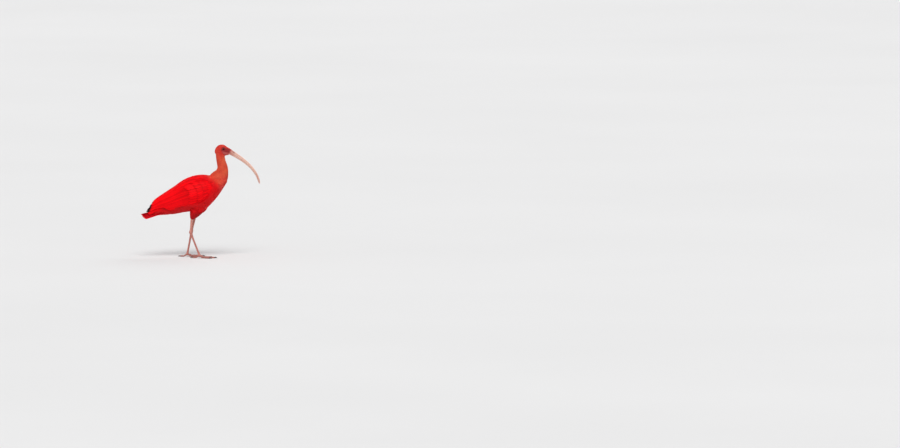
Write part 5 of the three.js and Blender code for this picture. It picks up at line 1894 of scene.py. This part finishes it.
def toe_rings(leg, name):
    yaw, length, radius = TOES[name]
    heading = toe_heading(leg, yaw)
    bend = length * TOE_BENDS[name]
    arch_share, arch_height = TOE_ARCH
    at_bend, further, at_end = (radius * share for share in TOE_LINE)
    stops = [(0, leg["ankle"][2] / MM - TOE_ROOT_DROP), (bend * arch_share, arch_height)]
    stops += [(bend, at_bend), (length * TOE_FURTHER, further), (length, at_end)]
    places = line_over_ground(leg["ankle"] * [1, 1, 0], heading, stops, TOE_RINGS)
    shares = np.linspace(0, 1, TOE_RINGS)
    pads = 1 + PAD_SWELL * np.cos(shares * PADS[name] * 2 * np.pi)
    beyond = np.clip((shares - TOE_END) / (1 - TOE_END), 0, 1)
    sizes = radius * MM * mix(1, TOE_TAPER, shares) * pads * np.sqrt(1 - (TOE_TIP * beyond) ** 2)
    return swept(places, np.column_stack([sizes, sizes]), np.cross(UPWARD, heading), TOE_SIDES)


def web_rings(leg, first, second):
    """A thin skin between two toes, higher at the ankle than at its front edge."""
    ankle = leg["ankle"] * [1, 1, 0]
    one, other = (toe_heading(leg, TOES[name][0]) for name in (first, second))
    sides = WEB_STEPS[:, None]
    thickness = UPWARD * WEB_HALF_THICKNESS
    rings = []
    for share in WEB_STEPS:
        reach = mix(*WEB_REACH, share) * MM
        sag = np.sin(sides * np.pi) * reach * WEB_SAG
        row = ankle + mix(one, other, sides) * reach * WEB_STRETCH - unit(one + other) * sag
        row = row + UPWARD * mix(*WEB_HEIGHTS, share) * MM
        rings.append(np.concatenate([row + thickness, row[::-1] - thickness]))
    return np.array(rings)


def shank(start, end, section, count):
    """A length of leg, from the section's first share to its last."""
    shares = np.linspace(section[0, 0], 1, count)
    return swept(mix(start, end, shares[:, None]), run_through(section)(shares), sides=LEG_SIDES)


def leg_forms(leg):
    forms = [shank(leg["cuff"], leg["hock"], SHIN_SECTION, SHIN_RINGS)]
    forms += [shank(leg["hock"], leg["ankle"], TARSUS_SECTION, TARSUS_RINGS)]
    forms += [toe_rings(leg, name) for name in TOES]
    forms += [web_rings(leg, "inner", "middle"), web_rings(leg, "middle", "outer")]
    for joint, radius in KNOBS.items():
        sizes = radius * np.sqrt(1 - KNOB_HEIGHTS ** 2)
        places = leg[joint] + KNOB_HEIGHTS[:, None] * radius * UPWARD
        forms.append(swept(places, np.column_stack([sizes, sizes]), sides=LEG_SIDES))
    return forms


# %% Leg scales and colours
SCALE_BAND = 2.5 * MM
SCALE_STEP = 0.5 * MM
SCALE_FRONT = 0.22  # share of a band over which it rises, before it slopes down
SCALE_SLOPE = 0.55
SCALE_LEVEL = 0.7  # the height that stays where the plain leg is
FOOT_FROM = np.array([11, 5]) * MM  # height, and over what drop
SHANK_FROM = np.array([100, 30]) * MM
BANDS_FROM = np.array([6, 8]) * MM  # over the hock, and over what drop
FACING_FRONT = (-0.1, 0.5)
GROOVE_DARK = 0.6
SHIN_PINK = np.array([0.68, 0.3, 0.235])
SHANK_PINK = np.array([0.6, 0.24, 0.19])
FOOT_PINK = np.array([0.5, 0.21, 0.17])


def scale_bands(leg, points):
    """Height of the scale bands at each point, and 1 for the foot or 0 for the shank."""
    outward = np.linalg.norm(points[:, :2] - leg["ankle"][:2], axis=1)
    on_foot = lower_than(points[:, 2], *FOOT_FROM)
    course = mix(leg["hock"][2] - points[:, 2], outward, on_foot)
    phase = (course / SCALE_BAND) % 1
    slope = 1 - SCALE_SLOPE * smoothstep(phase, SCALE_FRONT, 1.0)
    return smoothstep(phase, 0, SCALE_FRONT) * slope, on_foot


def leg_mesh(name, leg):
    """A leg from the thigh's feathers to the claws, with its scales pressed in."""
    mesh = melted(name, leg_forms(leg), LEG_VOXEL, LEG_SMOOTHING)
    points, normals = read_points(mesh), read_points(mesh, "normal")
    bands, on_foot = scale_bands(leg, points)
    over_hock, drop = BANDS_FROM
    banded = smoothstep(mix(normals[:, 0], normals[:, 2], on_foot), *FACING_FRONT)
    banded *= lower_than(points[:, 2], leg["hock"][2] + over_hock, drop)
    points = points + normals * ((bands - SCALE_LEVEL) * SCALE_STEP * banded)[:, None]
    points[:, 2] = np.maximum(points[:, 2], 0)
    move_points(mesh, points)
    colours = mix(SHIN_PINK, SHANK_PINK, lower_than(points[:, 2], *SHANK_FROM)[:, None])
    colours = mix(colours, FOOT_PINK, on_foot[:, None])
    tint_mesh(mesh, colours * mix(1.0, mix(GROOVE_DARK, 1.0, bands), banded)[:, None])
    smooth_faces(mesh)
    return mesh


leg_material, tree, shader = start_material("leg_scales", {
    "Roughness": 0.5,
    **seeping(0.06, (0.003, 0.001, 0.0008)),
})
place = place_on(tree)
scale_tops = spread(tree, cell_edges(tree, place, 800.0), 0.02, 0.2)
mottle = spread(tree, noise(tree, place, 190.0, 4.0, 0.6), 0.35, 0.7)
colour = blend_colours(tree, mottle, tint_of(tree)["Color"], (0.72, 0.55, 0.52), "MULTIPLY")
between_scales = spread(tree, scale_tops, 0.0, 1.0, 0.5, 0.0)
colour = blend_colours(tree, between_scales, colour, (0.5, 0.36, 0.34), "MULTIPLY")
feed(tree, shader.inputs["Base Color"], colour)
add_relief(tree, shader, scale_tops, 0.18 * MM, 0.7)

for name, leg in LEGS.items():
    covered_nodes = (f"shin_{name}", f"tarsus_{name}", f"foot_{name}")
    show(leg_mesh(f"leg_{name}", leg), leg_material, covered_nodes)

# %% [markdown]
# ## Claws
# Each toe ends in a dark horn claw, slightly hooked and flattened underneath. A tapering tube along a short
# arc gives that form; its fine lengthwise streaks and paler worn tip are left to the material.

# %% Claws
CLAW_RINGS = 24
CLAW_SIDES = 20
CLAW_SUNK = 0.4  # mm, how far its root lies inside the toe
# Reach in millimetres; height as a share of the toe's half width, and millimetres more.
CLAW_LINE = [(0, 0.66, 0), (4.2, 0.66, 0.5), (7.2, 0.45, 0.3), (8.9, 0, 0.55)]
CLAW_ROOT = 0.7  # as a share of the toe's half width
CLAW_NARROW = 0.85
CLAW_FLAT = 0.8
CLAW_TIP = 0.12 * MM
CLAW_TAPERS = (1.6, 1.5)  # powers, of the width and of the height
CLAW_BROWN = (0.055, 0.033, 0.028)
CLAW_STREAKS = (0.02, 0.014, 0.013)
CLAW_WORN = (0.16, 0.11, 0.09)

claw_material, tree, shader = start_material("claw_horn", {"Roughness": 0.32})
streaks = spread(tree, noise(tree, place_on(tree), 700.0, 4.0), 0.35, 0.7)
colour = blend_colours(tree, streaks, CLAW_BROWN, CLAW_STREAKS)
colour = blend_colours(tree, spread(tree, vane_parts(tree)["Y"], 0.65, 1.0, 0.0, 0.5), colour, CLAW_WORN)
feed(tree, shader.inputs["Base Color"], colour)
add_relief(tree, shader, streaks, 0.1 * MM, 0.5)


def claw_mesh(name, leg, toe):
    yaw, length, radius = TOES[toe]
    heading = toe_heading(leg, yaw)
    end = leg["ankle"] * [1, 1, 0] + heading * (length - CLAW_SUNK) * MM
    stops = [(reach, radius * share + more) for reach, share, more in CLAW_LINE]
    places = line_over_ground(end, heading, stops, CLAW_RINGS)
    shares = np.linspace(0, 1, CLAW_RINGS)
    root = radius * CLAW_ROOT * MM
    width, height = (root * (1 - shares ** power) for power in CLAW_TAPERS)
    width = np.maximum(width * CLAW_NARROW, CLAW_TIP)
    height = np.maximum(height, CLAW_TIP)
    sizes = np.column_stack([width, height, height * CLAW_FLAT])
    rings = swept(places, sizes, np.cross(UPWARD, heading), CLAW_SIDES)
    rings[..., 2] = np.maximum(rings[..., 2], 0)
    flat = np.broadcast_arrays(np.linspace(0, 1, CLAW_SIDES)[None], shares[:, None])
    return tube_mesh(name, rings, {"Vane": np.stack(flat, -1)})


for name, leg in LEGS.items():
    for toe in TOES:
        show(claw_mesh(f"horn_{toe}_{name}", leg, toe), claw_material, (f"claw_{toe}_{name}",))
